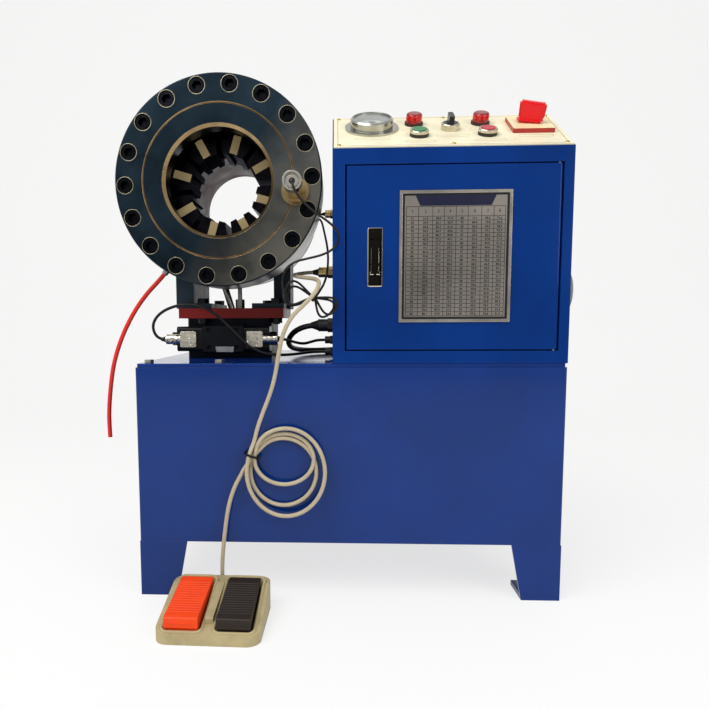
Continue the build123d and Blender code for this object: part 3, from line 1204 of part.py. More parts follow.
SENSOR_CABLE_REAR = (
    (-49.5, -237.0, 479.0), (-43.0, -228.0, 489.0), (-36.0, -215.0, 502.0), (-32.0, -197.0, 520.0),
    (-31.0, -172.0, 544.0), (-33.0, -146.0, 566.0), (-37.0, -120.0, 586.0), (-40.5, -97.0, 603.0),
    (-43.5, -77.0, 616.0), (-50.0, -63.0, 624.0), (-54.5, -51.5, 629.0), (-53.0, -41.0, 633.0),
    (-46.0, -35.5, 635.0), (-38.0, SENSOR_GLAND_Y, 635.0),
)
VALVE_CABLE_LEFT = (
    (-317.0, -101.0, 411.5), (-328.5, -101.0, 411.5), (-338.0, -105.0, 423.0), (-337.0, -113.0, 441.0),
    (-320.0, -122.0, 459.0), (-290.0, -130.0, 470.5), (-258.0, -134.0, 472.0), (-232.0, -135.0, 462.5),
    (-208.0, -135.0, 442.0), (-187.0, -133.0, 420.0), (-168.0, -130.0, 400.0), (-144.0, -123.0, 387.5),
    (-112.0, -110.0, 383.5), (-82.0, -92.0, 385.5), (-59.0, GLAND_Y, 388.0),
    (CABINET_LEFT - 14.0, GLAND_Y, 388.0),
)
VALVE_CABLE_RIGHT = (
    (-120.0, -101.0, 411.5), (-108.0, -101.0, 411.5), (-92.0, -98.0, 406.0), (-76.0, -89.0, 402.5),
    (-63.0, -78.0, 405.5), (-51.0, GLAND_Y, 409.0), (CABINET_LEFT - 14.0, GLAND_Y, 409.0),
)
MOTOR_CABLE = (
    (CABINET_LEFT - 26.0, GLAND_Y, 435.0), (-68.0, GLAND_Y, 435.0), (-93.0, -68.0, 425.0),
    (-107.0, -40.0, 408.0), (-106.0, 0.0, 393.0), (-88.0, 42.0, 385.5), (-54.0, 74.0, 383.5),
    (-14.0, 95.0, 384.5), (18.0, 104.0, 391.0), (42.0, 107.0, 408.0), (58.0, 108.0, 432.0),
    (66.0, 108.0, 456.0), (66.0, 108.0, 479.0),
)
RED_TUBE = (
    beside_head(RED_TUBE_START, RED_TUBE_ANGLE_DEG, RED_TUBE_Y),
    beside_head(RED_TUBE_START + 17.0, RED_TUBE_ANGLE_DEG, RED_TUBE_Y),
    (-358.5, RED_TUBE_Y, 497.5), (-379.5, -59.0, 471.0), (-399.5, -60.0, 437.5), (-416.0, -60.0, 401.0),
    (-428.0, -59.0, 364.0), (-435.0, -58.0, 325.0), (-440.0, -57.0, 282.0), (-441.0, -56.0, 252.0),
    (-440.0, -56.0, 228.0),
)


def foot_cable():
    upper = cord_tube("foot cable upper", FOOT_CABLE_UPPER, FOOT_CABLE_DIAMETER)
    lower = cord_tube("foot cable lower", FOOT_CABLE_LOWER, FOOT_CABLE_DIAMETER)
    return [upper, lower]


def sensor_cable():
    """From the sensor to the hank, and from the hank back to its gland."""
    front = cord_tube("sensor cable front", SENSOR_CABLE, SENSOR_CABLE_DIAMETER)
    rear = cord_tube("sensor cable rear", SENSOR_CABLE_REAR, SENSOR_CABLE_DIAMETER)
    return [front, rear]


def oval(x, z, half_x, half_z, y0, y1, tilt=0.0):
    face = Rot(0, 0, tilt) * Ellipse(half_x, half_z)
    return Pos(x, y1, z) * extrude(Plane.XZ * face, y1 - y0)


def foot_cable_coil():
    ring = oval(-96.5, 208.0, 65.0, 74.0, -247.0, -227.5)
    return ring - oval(-99.5, 224.0, 42.0, 31.0, -250.0, -226.0)


def cable_hank():
    left = oval(-75.5, 484.5, 24.5, 20.5, -245.0, -229.0, 8.0)
    left -= oval(-75.5, 484.5, 15.0, 10.0, -246.0, -228.0, 8.0)
    right = oval(-30.0, 468.0, 21.5, 15.0, -245.0, -229.0, -38.0)
    right -= oval(-30.0, 467.0, 12.0, 6.0, -246.0, -228.0, -38.0)
    knot = rod_y(-49.5, 479.0, 9.0, -245.5, -228.5)
    return left + right + knot


def red_tube_fitting():
    """Hex fitting screwed into the side of the head, pointing down to the left."""
    start = beside_head(RED_FITTING_SEAT, RED_TUBE_ANGLE_DEG, RED_TUBE_Y)
    centre = beside_head(0.0, RED_TUBE_ANGLE_DEG, RED_TUBE_Y)
    away = Vector(*start) - Vector(*centre)
    place = Plane(origin=start, x_dir=(0, 1, 0), z_dir=tuple(away))
    body = place * extrude(RegularPolygon(RED_FITTING_HEX_RADIUS, 6), RED_FITTING_HEX_LENGTH)
    body += place * extrude(Circle(RED_FITTING_RADIUS), RED_FITTING_LENGTH)
    return body - rod_y(HEAD_X, HEAD_Z, BODY_RADIUS, BODY_STEP, STAND_REAR)


def build():
    save("tank_shell", tank_shell())
    save("tank_cover", tank_cover())
    save("legs", *[leg(sx, sy) for sx in (-1, 1) for sy in (-1, 1)])
    save("hex_bolts", *(cover_bolts() + stand_bolts()))
    save("cabinet_shell", cabinet_shell())
    save("control_panel", control_panel())
    save("door", door())
    save("door_hinges", *door_hinges())
    save("latch_housing", latch_housing())
    save("latch_lever", latch_lever())
    save("size_table_plate", size_table_plate())
    save("gauge_case", gauge_case())
    save("gauge_needle", gauge_needle())
    save("gauge_glass", gauge_glass())
    save("panel_bezels", *panel_bezels())
    save("lamp_lenses", *lamp_lenses())
    save("green_button", push_button(GREEN_PLACE))
    save("red_button", push_button(RED_PLACE))
    save("selector_lever", selector_lever())
    save("switch_plate", switch_plate())
    save("switch_handle", switch_handle())
    save("mounting_panel", mounting_panel())
    save("switchgear", *switchgear())
    save("head_flange", head_flange())
    save("cone_ring", cone_ring())
    save("head_body", head_body())
    save("rear_cover", rear_cover())
    save("flange_screws", *flange_screws())
    save("piston", piston())
    for index in range(DIE_COUNT):
        save("master_die_" + str(index + 1), master_die(index))
    save("head_stand", *head_stand())
    save("mount_plate", mount_plate())
    save("manifold_block", manifold_block())
    save("valve_body", valve_body())
    save("solenoids", *solenoids())
    save("connectors", *connectors())
    save("proximity_sensor", proximity_sensor())
    save("pipe_fittings", *(pressure_pipe() + [red_tube_fitting()]))
    save("cable_glands", *cable_glands())
    save("motor", motor())
    save("motor_rotor", motor_rotor())
    save("pump", pump())
    save("foot_switch_housing", foot_switch_housing())
    save("orange_pedal", pedal(-1))
    save("black_pedal", pedal(1))
    save("foot_cable", *foot_cable())
    save("foot_cable_coil", foot_cable_coil())
    save("sensor_cable", *sensor_cable())
    save("cable_hank", cable_hank())
    save("valve_cable_left", cord_tube("left valve cable", VALVE_CABLE_LEFT, VALVE_CABLE_DIAMETER))
    save("valve_cable_right", cord_tube("right valve cable", VALVE_CABLE_RIGHT, VALVE_CABLE_DIAMETER))
    save("motor_cable", cord_tube("motor cable", MOTOR_CABLE, MOTOR_CABLE_DIAMETER))
    save("red_tube", cord_tube("red tube", RED_TUBE, RED_TUBE_DIAMETER))


build()
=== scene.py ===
import math
import random

import bmesh
import bpy
from mathutils import Matrix, Vector


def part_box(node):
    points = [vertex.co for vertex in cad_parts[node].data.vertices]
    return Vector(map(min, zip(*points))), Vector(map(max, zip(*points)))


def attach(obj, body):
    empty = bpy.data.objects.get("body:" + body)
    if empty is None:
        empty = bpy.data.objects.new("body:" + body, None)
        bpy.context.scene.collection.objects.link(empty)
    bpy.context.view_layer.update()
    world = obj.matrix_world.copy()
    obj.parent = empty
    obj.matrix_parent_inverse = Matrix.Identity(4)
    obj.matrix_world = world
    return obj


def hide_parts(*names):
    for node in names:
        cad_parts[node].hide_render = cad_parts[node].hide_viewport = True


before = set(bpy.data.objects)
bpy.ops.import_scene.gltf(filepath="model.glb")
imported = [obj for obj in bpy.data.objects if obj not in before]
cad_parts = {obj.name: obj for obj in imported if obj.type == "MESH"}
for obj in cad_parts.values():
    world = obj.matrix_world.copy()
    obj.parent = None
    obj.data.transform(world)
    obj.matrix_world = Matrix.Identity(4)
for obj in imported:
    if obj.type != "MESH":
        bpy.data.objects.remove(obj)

bl_info = {
    "name": "Hose crimping machine",
    "version": (1, 0, 0),
    "blender": (4, 5, 0),
    "location": "View3D > Sidebar > Crimper",
    "description": "Finishes, printed plates, cords and small trim of a hose crimping machine",
    "category": "Add Mesh",
}

MM = 0.001

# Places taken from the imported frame, in metres
FLANGE_LOW, FLANGE_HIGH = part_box("head_flange")
HEAD = (FLANGE_LOW + FLANGE_HIGH) / 2
FACE_Y = FLANGE_LOW.y
CABINET_LOW, CABINET_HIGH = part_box("cabinet_shell")
PLATE_LOW, PLATE_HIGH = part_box("size_table_plate")
COVER_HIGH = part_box("tank_cover")[1]
VALVE_LOW, VALVE_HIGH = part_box("valve_body")
PANEL_SLOPE = math.radians(33.0)
PANEL_LENGTH = 148.0 * MM
PANEL_TOP = 2.0 * MM
SELECTOR_LOW, SELECTOR_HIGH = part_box("selector_lever")
SWITCH_LOW, SWITCH_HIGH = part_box("switch_plate")
SLOPE_FOOT_Z = CABINET_HIGH.z - PANEL_LENGTH * math.sin(PANEL_SLOPE)

# Crimping head, as in its solids
SCREW_EDGE = 16.3 * MM
SCREW_CIRCLE = (FLANGE_HIGH.x - FLANGE_LOW.x) / 2 - SCREW_EDGE
SCREW_COUNT = 18
SCREW_START_DEG = 2.0
COUNTERBORE_RADIUS = 13.0 * MM
PRIMED_RADIUS = 77.0 * MM
CUT_EDGE_RADIUS = 150.0 * MM
DIE_START_DEG = 28.5
STRIP_RADII = (58.3 * MM, 88.7 * MM)

# Foot switch, as in its solids
PEDAL_OFFSET = 37.0
WELL_SLOPE = math.radians(15.0)
FOOT_SWITCH_PLACE = (Matrix.Translation((-197.5 * MM, -384.0 * MM, 0.0))
                     @ Matrix.Rotation(math.radians(-1.5), 4, "Z"))
TREAD_FRONT_Y, TREAD_FRONT_Z, TREAD_RISE = 12.4, 35.4, 0.15
TREAD_RIBS, TREAD_FIRST_RIB, TREAD_LAST_RIB = 14, 22.0, 102.0

# Places on the control panel: millimetres across the machine and up the slope
GAUGE_PLACE = (38.3, 88.0)
SWITCH_UP_SLOPE_MM = 84.5
PANEL_NORMAL = Vector((0.0, -math.sin(PANEL_SLOPE), math.cos(PANEL_SLOPE)))
PANEL_SCREW_PLACES = ((158.0, 9.0), (-14.0, 9.0), (325.0, 9.0), (-14.0, 138.0), (325.0, 138.0), (158.0, 138.0))
LABEL_PLACES = ((38.3, 36.0, 52.0), (107.0, 78.0, 40.0), (110.0, 22.0, 46.0), (161.5, 45.0, 50.0),
                (213.0, 78.0, 40.0), (215.0, 23.0, 46.0), (286.5, 40.0, 52.0))

# Routes of the cords, in millimetres, as chosen for the solids
FOOT_CABLE_UPPER = (
    (-49.0, -75.0, 528.0), (-64.0, -75.0, 528.0), (-84.0, -84.0, 525.0), (-91.0, -112.0, 521.0),
    (-84.0, -146.0, 516.0), (-67.0, -180.0, 512.0), (-50.0, -212.0, 508.0), (-43.0, -238.0, 501.0),
    (-48.0, -256.0, 486.0), (-65.0, -261.0, 468.0), (-85.0, -258.0, 450.0), (-99.0, -252.0, 424.0),
    (-106.0, -246.0, 392.0), (-112.0, -241.0, 358.0), (-120.0, -238.5, 331.0), (-133.0, -237.0, 299.0),
    (-141.5, -237.0, 275.0), (-145.5, -237.0, 256.5),
)
FOOT_CABLE_LOWER = (
    (-160.8, -237.0, 216.0), (-167.0, -237.6, 203.5), (-178.0, -238.3, 184.0), (-188.0, -239.0, 153.0),
    (-194.0, -239.0, 112.0), (-198.0, -238.0, 77.0), (-199.65, -236.9, 54.0), (-199.65, -236.9, 34.0),
)
SENSOR_CABLE = (
    (-83.6, -251.3, 648.5), (-83.6, -263.0, 648.5), (-81.8, -271.0, 638.5), (-75.0, -270.0, 625.0),
    (-63.0, -266.0, 611.5), (-47.5, -261.5, 599.0), (-29.5, -256.0, 588.0), (-16.5, -252.0, 576.0),
    (-13.5, -249.0, 561.0), (-23.0, -247.0, 548.5), (-40.0, -246.0, 540.5), (-61.0, -245.0, 536.0),
    (-82.0, -243.0, 531.5), (-97.0, -241.0, 519.0), (-100.5, -238.0, 502.0), (-98.5, -237.0, 489.0),
)
VALVE_CABLE_LEFT = (
    (-317.0, -101.0, 411.5), (-328.5, -101.0, 411.5), (-338.0, -105.0, 423.0), (-337.0, -113.0, 441.0),
    (-320.0, -122.0, 459.0), (-290.0, -130.0, 470.5), (-258.0, -134.0, 472.0), (-232.0, -135.0, 462.5),
    (-208.0, -135.0, 442.0), (-187.0, -133.0, 420.0), (-168.0, -130.0, 400.0), (-144.0, -123.0, 387.5),
    (-112.0, -110.0, 383.5), (-82.0, -92.0, 385.5), (-59.0, -75.0, 388.0), (-38.0, -75.0, 388.0),
)
VALVE_CABLE_RIGHT = (
    (-120.0, -101.0, 411.5), (-108.0, -101.0, 411.5), (-92.0, -98.0, 406.0), (-76.0, -89.0, 402.5),
    (-63.0, -78.0, 405.5), (-51.0, -75.0, 409.0), (-38.0, -75.0, 409.0),
)
MOTOR_CABLE = (
    (-50.0, -75.0, 435.0), (-68.0, -75.0, 435.0), (-93.0, -68.0, 425.0), (-107.0, -40.0, 408.0),
    (-106.0, 0.0, 393.0), (-88.0, 42.0, 385.5), (-54.0, 74.0, 383.5), (-14.0, 95.0, 384.5),
    (18.0, 104.0, 391.0), (42.0, 107.0, 408.0), (58.0, 108.0, 432.0), (66.0, 108.0, 456.0),
    (66.0, 108.0, 479.0),
)
RED_TUBE = (
    (-328.9, -58.0, 528.3), (-340.1, -58.0, 515.5), (-358.5, -58.0, 497.5), (-379.5, -59.0, 471.0),
    (-399.5, -60.0, 437.5), (-416.0, -60.0, 401.0), (-428.0, -59.0, 364.0), (-435.0, -58.0, 325.0),
    (-440.0, -57.0, 282.0), (-441.0, -56.0, 252.0), (-440.0, -56.0, 228.0),
)
# Turns of the foot switch cable: centre across, centre height, half width, half height, depth, tie angle
COIL_TURNS = (
    (-96.5, 208.0, 62.5, 71.0, -243.5, 156.0),
    (-99.5, 228.0, 47.5, 41.0, -237.3, 172.0),
    (-101.0, 207.0, 53.0, 55.0, -231.2, 150.0),
)
COIL_STEPS = 14
SENSOR_CABLE_REAR = (
    (-49.5, -237.0, 479.0), (-43.0, -228.0, 489.0), (-36.0, -215.0, 502.0), (-32.0, -197.0, 520.0),
    (-31.0, -172.0, 544.0), (-33.0, -146.0, 566.0), (-37.0, -120.0, 586.0), (-40.5, -97.0, 603.0),
    (-43.5, -77.0, 616.0), (-50.0, -63.0, 624.0), (-54.5, -51.5, 629.0), (-53.0, -41.0, 633.0),
    (-46.0, -35.5, 635.0), (-38.0, -35.0, 635.0),
)
# Loops of the sensor cable's hank from its tie, in the order in which the cable runs through them:
# length, half width, slope in degrees, depth of the loop. Each starts and ends at the tie.
HANK_TIE = (-52.0, -237.0, 479.0)
HANK_FIRST = (47.0, 17.0, 172.0, -241.0)
HANK_LOOPS = (
    (38.0, -13.5, -30.0, -240.0), (45.0, 19.5, 170.0, -238.5), (35.0, -15.0, -44.0, -236.5),
    (41.0, 15.0, 176.0, -234.0),
)
HANK_STEPS = 14


def linear(code):
    """Turns an sRGB hex colour into the linear values that shaders take."""
    values = [int(code[i:i + 2], 16) / 255 for i in (1, 3, 5)]
    return [v / 12.92 if v <= 0.04045 else ((v + 0.055) / 1.055) ** 2.4 for v in values]


def colour_property(name, description, code):
    return bpy.props.FloatVectorProperty(
        name=name, description=description, subtype="COLOR", size=3, min=0.0, max=1.0, default=linear(code))


class CrimperColours(bpy.types.PropertyGroup):
    tank: colour_property("Tank", "Gloss enamel on the tank and legs", "#0a2d6f")
    cabinet: colour_property("Cabinet", "Gloss enamel on the cabinet and door", "#002c6f")
    cover: colour_property("Cover", "Gloss enamel on the tank cover", "#0b3078")
    panel: colour_property("Panel", "Enamel on the control panel", "#ebe3c4")
    head: colour_property("Head", "Blued and turned steel of the crimping head", "#1d2932")
    # Painted reflection: this grey, painted on the head's lower right, stands in for warm light reflected there
    worn: colour_property("Worn steel", "Steel of the head where handling has rubbed the blueing off", "#77746b")
    joint: colour_property("Joint", "Cut edges of the crimping head", "#a48c66")
    die_strip: colour_property("Die strip", "Marking strips on the dies", "#a8956c")
    bore: colour_property("Bore", "Oiled primer in the throat behind the dies", "#4b2629")
    red_plate: colour_property("Red plate", "Primer on the plate under the head", "#7a1a17")
    stand: colour_property("Stand", "Paint on the head stand", "#22323d")
    foot_switch: colour_property("Foot switch", "Gloss paint on the foot switch", "#b3a47c")
    orange: colour_property("Orange pedal", "Rubber of the orange pedal", "#ef4610")
    black: colour_property("Black pedal", "Rubber of the black pedal", "#2a211b")
    foot_cable: colour_property("Foot cable", "Sheath of the foot switch cable", "#b3a68c")
    red_tube: colour_property("Red tube", "Polyurethane of the drain tube", "#d9322b")


class CrimperSizes(bpy.types.PropertyGroup):
    table_rows: bpy.props.IntProperty(
        name="Table rows", description="Rows of numbers on the size table", default=24, min=1, max=40)
    table_margin: bpy.props.FloatProperty(
        name="Table margin", description="Width of the size table's bright frame", default=4.6 * MM,
        unit="LENGTH", subtype="DISTANCE")
    digit_height: bpy.props.FloatProperty(
        name="Digit size", description="Type size of the numbers on the size table", default=4.6 * MM,
        unit="LENGTH", subtype="DISTANCE")
    strip_width: bpy.props.FloatProperty(
        name="Strip width", description="Width of the marking strip on each die", default=13.4 * MM,
        unit="LENGTH", subtype="DISTANCE")
    tie_width: bpy.props.FloatProperty(
        name="Tie width", description="Width of the cable ties", default=3.6 * MM,
        unit="LENGTH", subtype="DISTANCE")


class CrimperStage(bpy.types.PropertyGroup):
    key_power: bpy.props.FloatProperty(
        name="Key power", description="Power of the large lamp over the machine, in watts", default=46.0)
    fill_power: bpy.props.FloatProperty(
        name="Fill power", description="Power of the lamp beside the camera, in watts", default=16.0)
    sky: bpy.props.FloatProperty(
        name="Sky", description="Brightness of the room's even light", default=0.55)


def colour(name):
    return tuple(getattr(bpy.context.scene.crimper_colours, name)) + (1.0,)


def tint(code):
    return tuple(linear(code)) + (1.0,)


def shaded(rgba, factor):
    return tuple(v * factor for v in rgba[:3]) + (1.0,)


# Shader building
def add_node(tree, kind, inputs, **settings):
    """Adds one node with its settings. An input takes a value, or a socket to link from."""
    node = tree.nodes.new(kind)
    for name, value in settings.items():
        setattr(node, name, value)
    for key, value in inputs.items():
        if isinstance(value, bpy.types.NodeSocket):
            tree.links.new(value, node.inputs[key])
        else:
            node.inputs[key].default_value = value
    return node


def calc(tree, operation, *values):
    """Output of one maths node."""
    return add_node(tree, "ShaderNodeMath", dict(enumerate(values)), operation=operation).outputs[0]


def along_vector(tree, point, vector):
    """How far a point lies along a vector."""
    return add_node(tree, "ShaderNodeVectorMath", {0: point, 1: vector}, operation="DOT_PRODUCT").outputs["Value"]


def split(tree, vector):
    """The three outputs of a vector."""
    return add_node(tree, "ShaderNodeSeparateXYZ", {"Vector": vector}).outputs


def blend(tree, share, first, second):
    """Colour between two others."""
    return add_node(tree, "ShaderNodeMix", {0: share, 6: first, 7: second}, data_type="RGBA").outputs[2]


def start_material(name, values):
    material = bpy.data.materials.new(name)
    material.use_nodes = True
    shader = material.node_tree.nodes["Principled BSDF"]
    for socket, value in values.items():
        shader.inputs[socket].default_value = value
    return material, material.node_tree, shader


def surface_point(tree, centre=(0.0, 0.0, 0.0)):
    """Place on the piece in metres, counted from a centre, so that a pattern stays on its body."""
    place = add_node(tree, "ShaderNodeTexCoord", {})
    if not any(centre):
        return place.outputs["Object"]
    shift = add_node(tree, "ShaderNodeMapping", {
        "Vector": place.outputs["Object"], "Location": tuple(-v for v in centre)})
    return shift.outputs["Vector"]


def relief(tree, shader, point, grain_mm, depth_mm, edge_mm, height=None):
    """Rounds the sharp edges a little and lays a fine grain over the surface."""
    edge = add_node(tree, "ShaderNodeBevel", {"Radius": edge_mm * MM}, samples=6)
    if height is None:
        noise = add_node(tree, "ShaderNodeTexNoise", {"Vector": point, "Scale": 1 / (grain_mm * MM), "Detail": 3.0})
        height = noise.outputs["Fac"]
    bump = add_node(tree, "ShaderNodeBump", {
        "Height": height, "Distance": depth_mm * MM, "Strength": 1.0, "Normal": edge.outputs["Normal"]})
    tree.links.new(bump.outputs["Normal"], shader.inputs["Normal"])
    return bump


def drift(tree, point, dark, light, patch_mm, smooth, rough):
    """Colour that drifts between two shades, and roughness between two values, over large patches."""
    noise = add_node(tree, "ShaderNodeTexNoise", {
        "Vector": point, "Scale": 1 / (patch_mm * MM), "Detail": 5.0, "Roughness": 0.6})
    spread = add_node(tree, "ShaderNodeMapRange", {
        "Value": noise.outputs["Fac"], "From Min": 0.32, "From Max": 0.68})
    shade = blend(tree, spread.outputs["Result"], dark, light)
    gloss = add_node(tree, "ShaderNodeMapRange", {
        "Value": spread.outputs["Result"], "To Min": smooth, "To Max": rough})
    return shade, gloss.outputs["Result"]


def mottle(tree, shader, point, *shades):
    """Drifts a shader's colour and roughness, and returns the colour."""
    shade, gloss = drift(tree, point, *shades)
    tree.links.new(shade, shader.inputs["Base Color"])
    tree.links.new(gloss, shader.inputs["Roughness"])
    return shade


def sprayed_enamel(name, rgba, gloss, edge_mm=1.2):
    """Two-pack enamel sprayed on sheet steel: wet gloss with a faint orange peel."""
    material, tree, shader = start_material(name, {"IOR": 1.5, "Specular IOR Level": gloss})
    point = surface_point(tree)
    mottle(tree, shader, point, shaded(rgba, 0.84), shaded(rgba, 1.14), 180.0, 0.06, 0.14)
    # Orange peel of about 4 mm, drawn a little coarser than the real 2 mm so that it shows
    relief(tree, shader, point, 4.0, 0.012, edge_mm)
    return material


def satin_enamel(name, rgba, edge_mm=0.8):
    """Satin enamel on steel: soft highlights, small specks of dust in the film."""
    material, tree, shader = start_material(name, {"IOR": 1.48, "Specular IOR Level": 0.2})
    point = surface_point(tree)
    mottle(tree, shader, point, shaded(rgba, 0.86), shaded(rgba, 1.06), 60.0, 0.32, 0.5)
    relief(tree, shader, point, 1.5, 0.02, edge_mm)
    return material


def cast_paint(name, rgba, grain_mm, depth_mm, edge_mm=1.5):
    """Paint over a rough casting: the sand grain shows through the film."""
    material, tree, shader = start_material(name, {"IOR": 1.48, "Specular IOR Level": 0.2})
    point = surface_point(tree)
    mottle(tree, shader, point, shaded(rgba, 0.8), shaded(rgba, 1.1), 40.0, 0.36, 0.6)
    relief(tree, shader, point, grain_mm, depth_mm, edge_mm)
    return material


def axis_distance(tree, point):
    """Distance from the head's axis, for a point counted from the head's centre."""
    axes = split(tree, point)
    flat = add_node(tree, "ShaderNodeCombineXYZ", {"X": axes["X"], "Z": axes["Z"]})
    radius = add_node(tree, "ShaderNodeVectorMath", {0: flat.outputs["Vector"]}, operation="LENGTH")
    return radius.outputs["Value"]


def leaning_faces(tree, least, most):
    """Mask of the faces whose normal has an axial part between two values, such as chamfers."""
    normal = add_node(tree, "ShaderNodeTexCoord", {})
    lean = calc(tree, "ABSOLUTE", split(tree, normal.outputs["Normal"])["Y"])
    return calc(tree, "COMPARE", lean, (least + most) / 2, (most - least) / 2)


def turned_steel(name, rgba):
    """Blued, face-turned steel: fine rings about the axis, a painted reflection in grey at the lower right, bright
    cut edges.
    """
    material, tree, shader = start_material(name, {"Metallic": 1.0, "Anisotropic": 0.5})
    point = surface_point(tree, HEAD)
    blue = mottle(tree, shader, point, shaded(rgba, 0.55), shaded(rgba, 1.45), 120.0, 0.24, 0.4)
    # Painted reflection: the lower right of the head is painted grey and streaked where warm light is reflected
    toward = along_vector(tree, point, (0.85, 0.0, -0.53))
    reflection_falloff = add_node(tree, "ShaderNodeMapRange", {"Value": toward, "From Min": 20 * MM, "From Max": 160 * MM})
    streaks = add_node(tree, "ShaderNodeTexNoise", {"Vector": point, "Scale": 1 / (35.0 * MM), "Detail": 6.0})
    patchy = add_node(tree, "ShaderNodeMapRange", {
        "Value": streaks.outputs["Fac"], "From Min": 0.3, "From Max": 0.6, "To Min": 0.55})
    share = calc(tree, "MULTIPLY", reflection_falloff.outputs["Result"], patchy.outputs["Result"])
    worn = blend(tree, share, blue, colour("worn"))
    near = calc(tree, "LESS_THAN", axis_distance(tree, point), CUT_EDGE_RADIUS)
    cut = calc(tree, "MULTIPLY", leaning_faces(tree, 0.5, 0.9), near)
    # The cut edges are stained in places
    stain = blend(tree, streaks.outputs["Fac"], shaded(colour("joint"), 0.25), shaded(colour("joint"), 1.9))
    tree.links.new(blend(tree, cut, worn, stain), shader.inputs["Base Color"])
    # Tool marks 0.9 mm apart, coarser than the real feed of 0.2 mm so that they show
    rings = add_node(tree, "ShaderNodeTexWave", {
        "Vector": point, "Scale": 0.314 / (0.9 * MM), "Distortion": 1.5, "Detail": 2.0, "Detail Scale": 0.4},
        wave_type="RINGS", rings_direction="Y")
    relief(tree, shader, point, 1.0, 0.004, 0.6, rings.outputs["Fac"])
    tangent = add_node(tree, "ShaderNodeTangent", {}, direction_type="RADIAL", axis="Y")
    tree.links.new(tangent.outputs["Tangent"], shader.inputs["Tangent"])
    return material


def beyond(axis, level):
    """Mask of what lies further along an axis than a level in metres."""
    return lambda tree, point: calc(tree, "GREATER_THAN", split(tree, point)[axis], level)


def two_finishes(name, mask, first, second, grain_mm=0.6, depth_mm=0.003, edge_mm=0.5, centre=(0.0, 0.0, 0.0)):
    """Two finishes on one kind of piece, the second where the mask is: each a colour, metallic and roughness."""
    material, tree, shader = start_material(name, {})
    point = surface_point(tree, centre)
    made = []
    for rgba, metallic, roughness in (first, second):
        made.append((*drift(tree, point, shaded(rgba, 0.8), shaded(rgba, 1.12), 40.0,
                            roughness * 0.75, roughness * 1.3), metallic))
    (shade_a, rough_a, metal_a), (shade_b, rough_b, metal_b) = made
    where = mask(tree, point)
    tree.links.new(blend(tree, where, shade_a, shade_b), shader.inputs["Base Color"])
    for socket, low, high in (("Roughness", rough_a, rough_b), ("Metallic", metal_a, metal_b)):
        level = add_node(tree, "ShaderNodeMix", {0: where, 2: low, 3: high})
        tree.links.new(level.outputs[0], shader.inputs[socket])
    relief(tree, shader, point, grain_mm, depth_mm, edge_mm)
    return material


def primed_throat(name, rgba):
    """Rear cover: turned steel outside, oiled red primer inside the throat."""
    return two_finishes(name, lambda tree, point: calc(tree, "LESS_THAN", axis_distance(tree, point), PRIMED_RADIUS),
                        (rgba, 1.0, 0.3), (colour("bore"), 0.0, 0.5), 2.0, 0.01, 0.8, HEAD)


def machined_metal(name, code, roughness, grain_mm=0.6, edge_mm=0.5, depth_mm=0.003, patch_mm=14.0):
    """Machined or plated metal: even colour, fine directionless scratches, edges that catch the light."""
    rgba = tint(code)
    material, tree, shader = start_material(name, {"Metallic": 1.0})
    point = surface_point(tree)
    mottle(tree, shader, point, shaded(rgba, 0.8), shaded(rgba, 1.12), patch_mm, roughness * 0.75, roughness * 1.3)
    relief(tree, shader, point, grain_mm, depth_mm, edge_mm)
    return material


def black_oxide(name, code, roughness, edge_mm=0.5):
    """Black oxide on hard steel: it stays dark also where light glances off it."""
    material, tree, shader = start_material(name, {"Metallic": 1.0, "Specular Tint": (0.3, 0.3, 0.33, 1.0)})
    point = surface_point(tree)
    rgba = tint(code)
    mottle(tree, shader, point, shaded(rgba, 0.7), shaded(rgba, 1.3), 12.0, roughness * 0.75, roughness * 1.3)
    relief(tree, shader, point, 0.8, 0.004, edge_mm)
    return material


def moulded_plastic(name, rgba, roughness, grain_mm=0.8, edge_mm=0.5):
    """Injection-moulded plastic: fine spark-eroded texture, even colour."""
    material, tree, shader = start_material(name, {"IOR": 1.5, "Specular IOR Level": 0.25})
    point = surface_point(tree)
    mottle(tree, shader, point, shaded(rgba, 0.93), shaded(rgba, 1.05), 20.0, roughness * 0.85, roughness * 1.2)
    relief(tree, shader, point, grain_mm, 0.006, edge_mm)
    return material


def clear_plastic(name, rgba, roughness):
    """Clear moulded polycarbonate: light passes through and takes the colour."""
    material, tree, shader = start_material(name, {
        "IOR": 1.58, "Transmission Weight": 0.75, "Roughness": roughness})
    point = surface_point(tree)
    mottle(tree, shader, point, shaded(rgba, 0.85), rgba, 8.0, roughness * 0.7, roughness * 1.4)
    relief(tree, shader, point, 2.0, 0.02, 0.4)
    return material


def instrument_glass(name):
    """Float glass over the dial: almost no colour, sharp reflections, a trace of dust."""
    material, tree, shader = start_material(name, {
        "Base Color": tint("#f4fbfb"), "IOR": 1.45, "Transmission Weight": 1.0})
    point = surface_point(tree)
    dust = add_node(tree, "ShaderNodeTexNoise", {"Vector": point, "Scale": 1 / (3.0 * MM), "Detail": 6.0})
    rough = add_node(tree, "ShaderNodeMapRange", {
        "Value": dust.outputs["Fac"], "From Min": 0.4, "From Max": 0.8, "To Min": 0.0, "To Max": 0.12})
    tree.links.new(rough.outputs["Result"], shader.inputs["Roughness"])
    return material


def ink(name, code):
    """Screen-printed ink: flat colour with tiny pinholes."""
    return moulded_plastic(name, tint(code), 0.45, 0.4, 0.1)


# Mesh building
def piece(name, mesh, material, body, smooth_deg=None):
    """Makes an object of a mesh, finishes it and sets it on a body."""
    obj = bpy.data.objects.new(name, mesh)
    bpy.context.scene.collection.objects.link(obj)
    mesh.materials.clear()
    mesh.materials.append(material)
    if smooth_deg is not None:
        mesh.shade_smooth()
        mesh.set_sharp_from_angle(angle=math.radians(smooth_deg))
    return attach(obj, body)


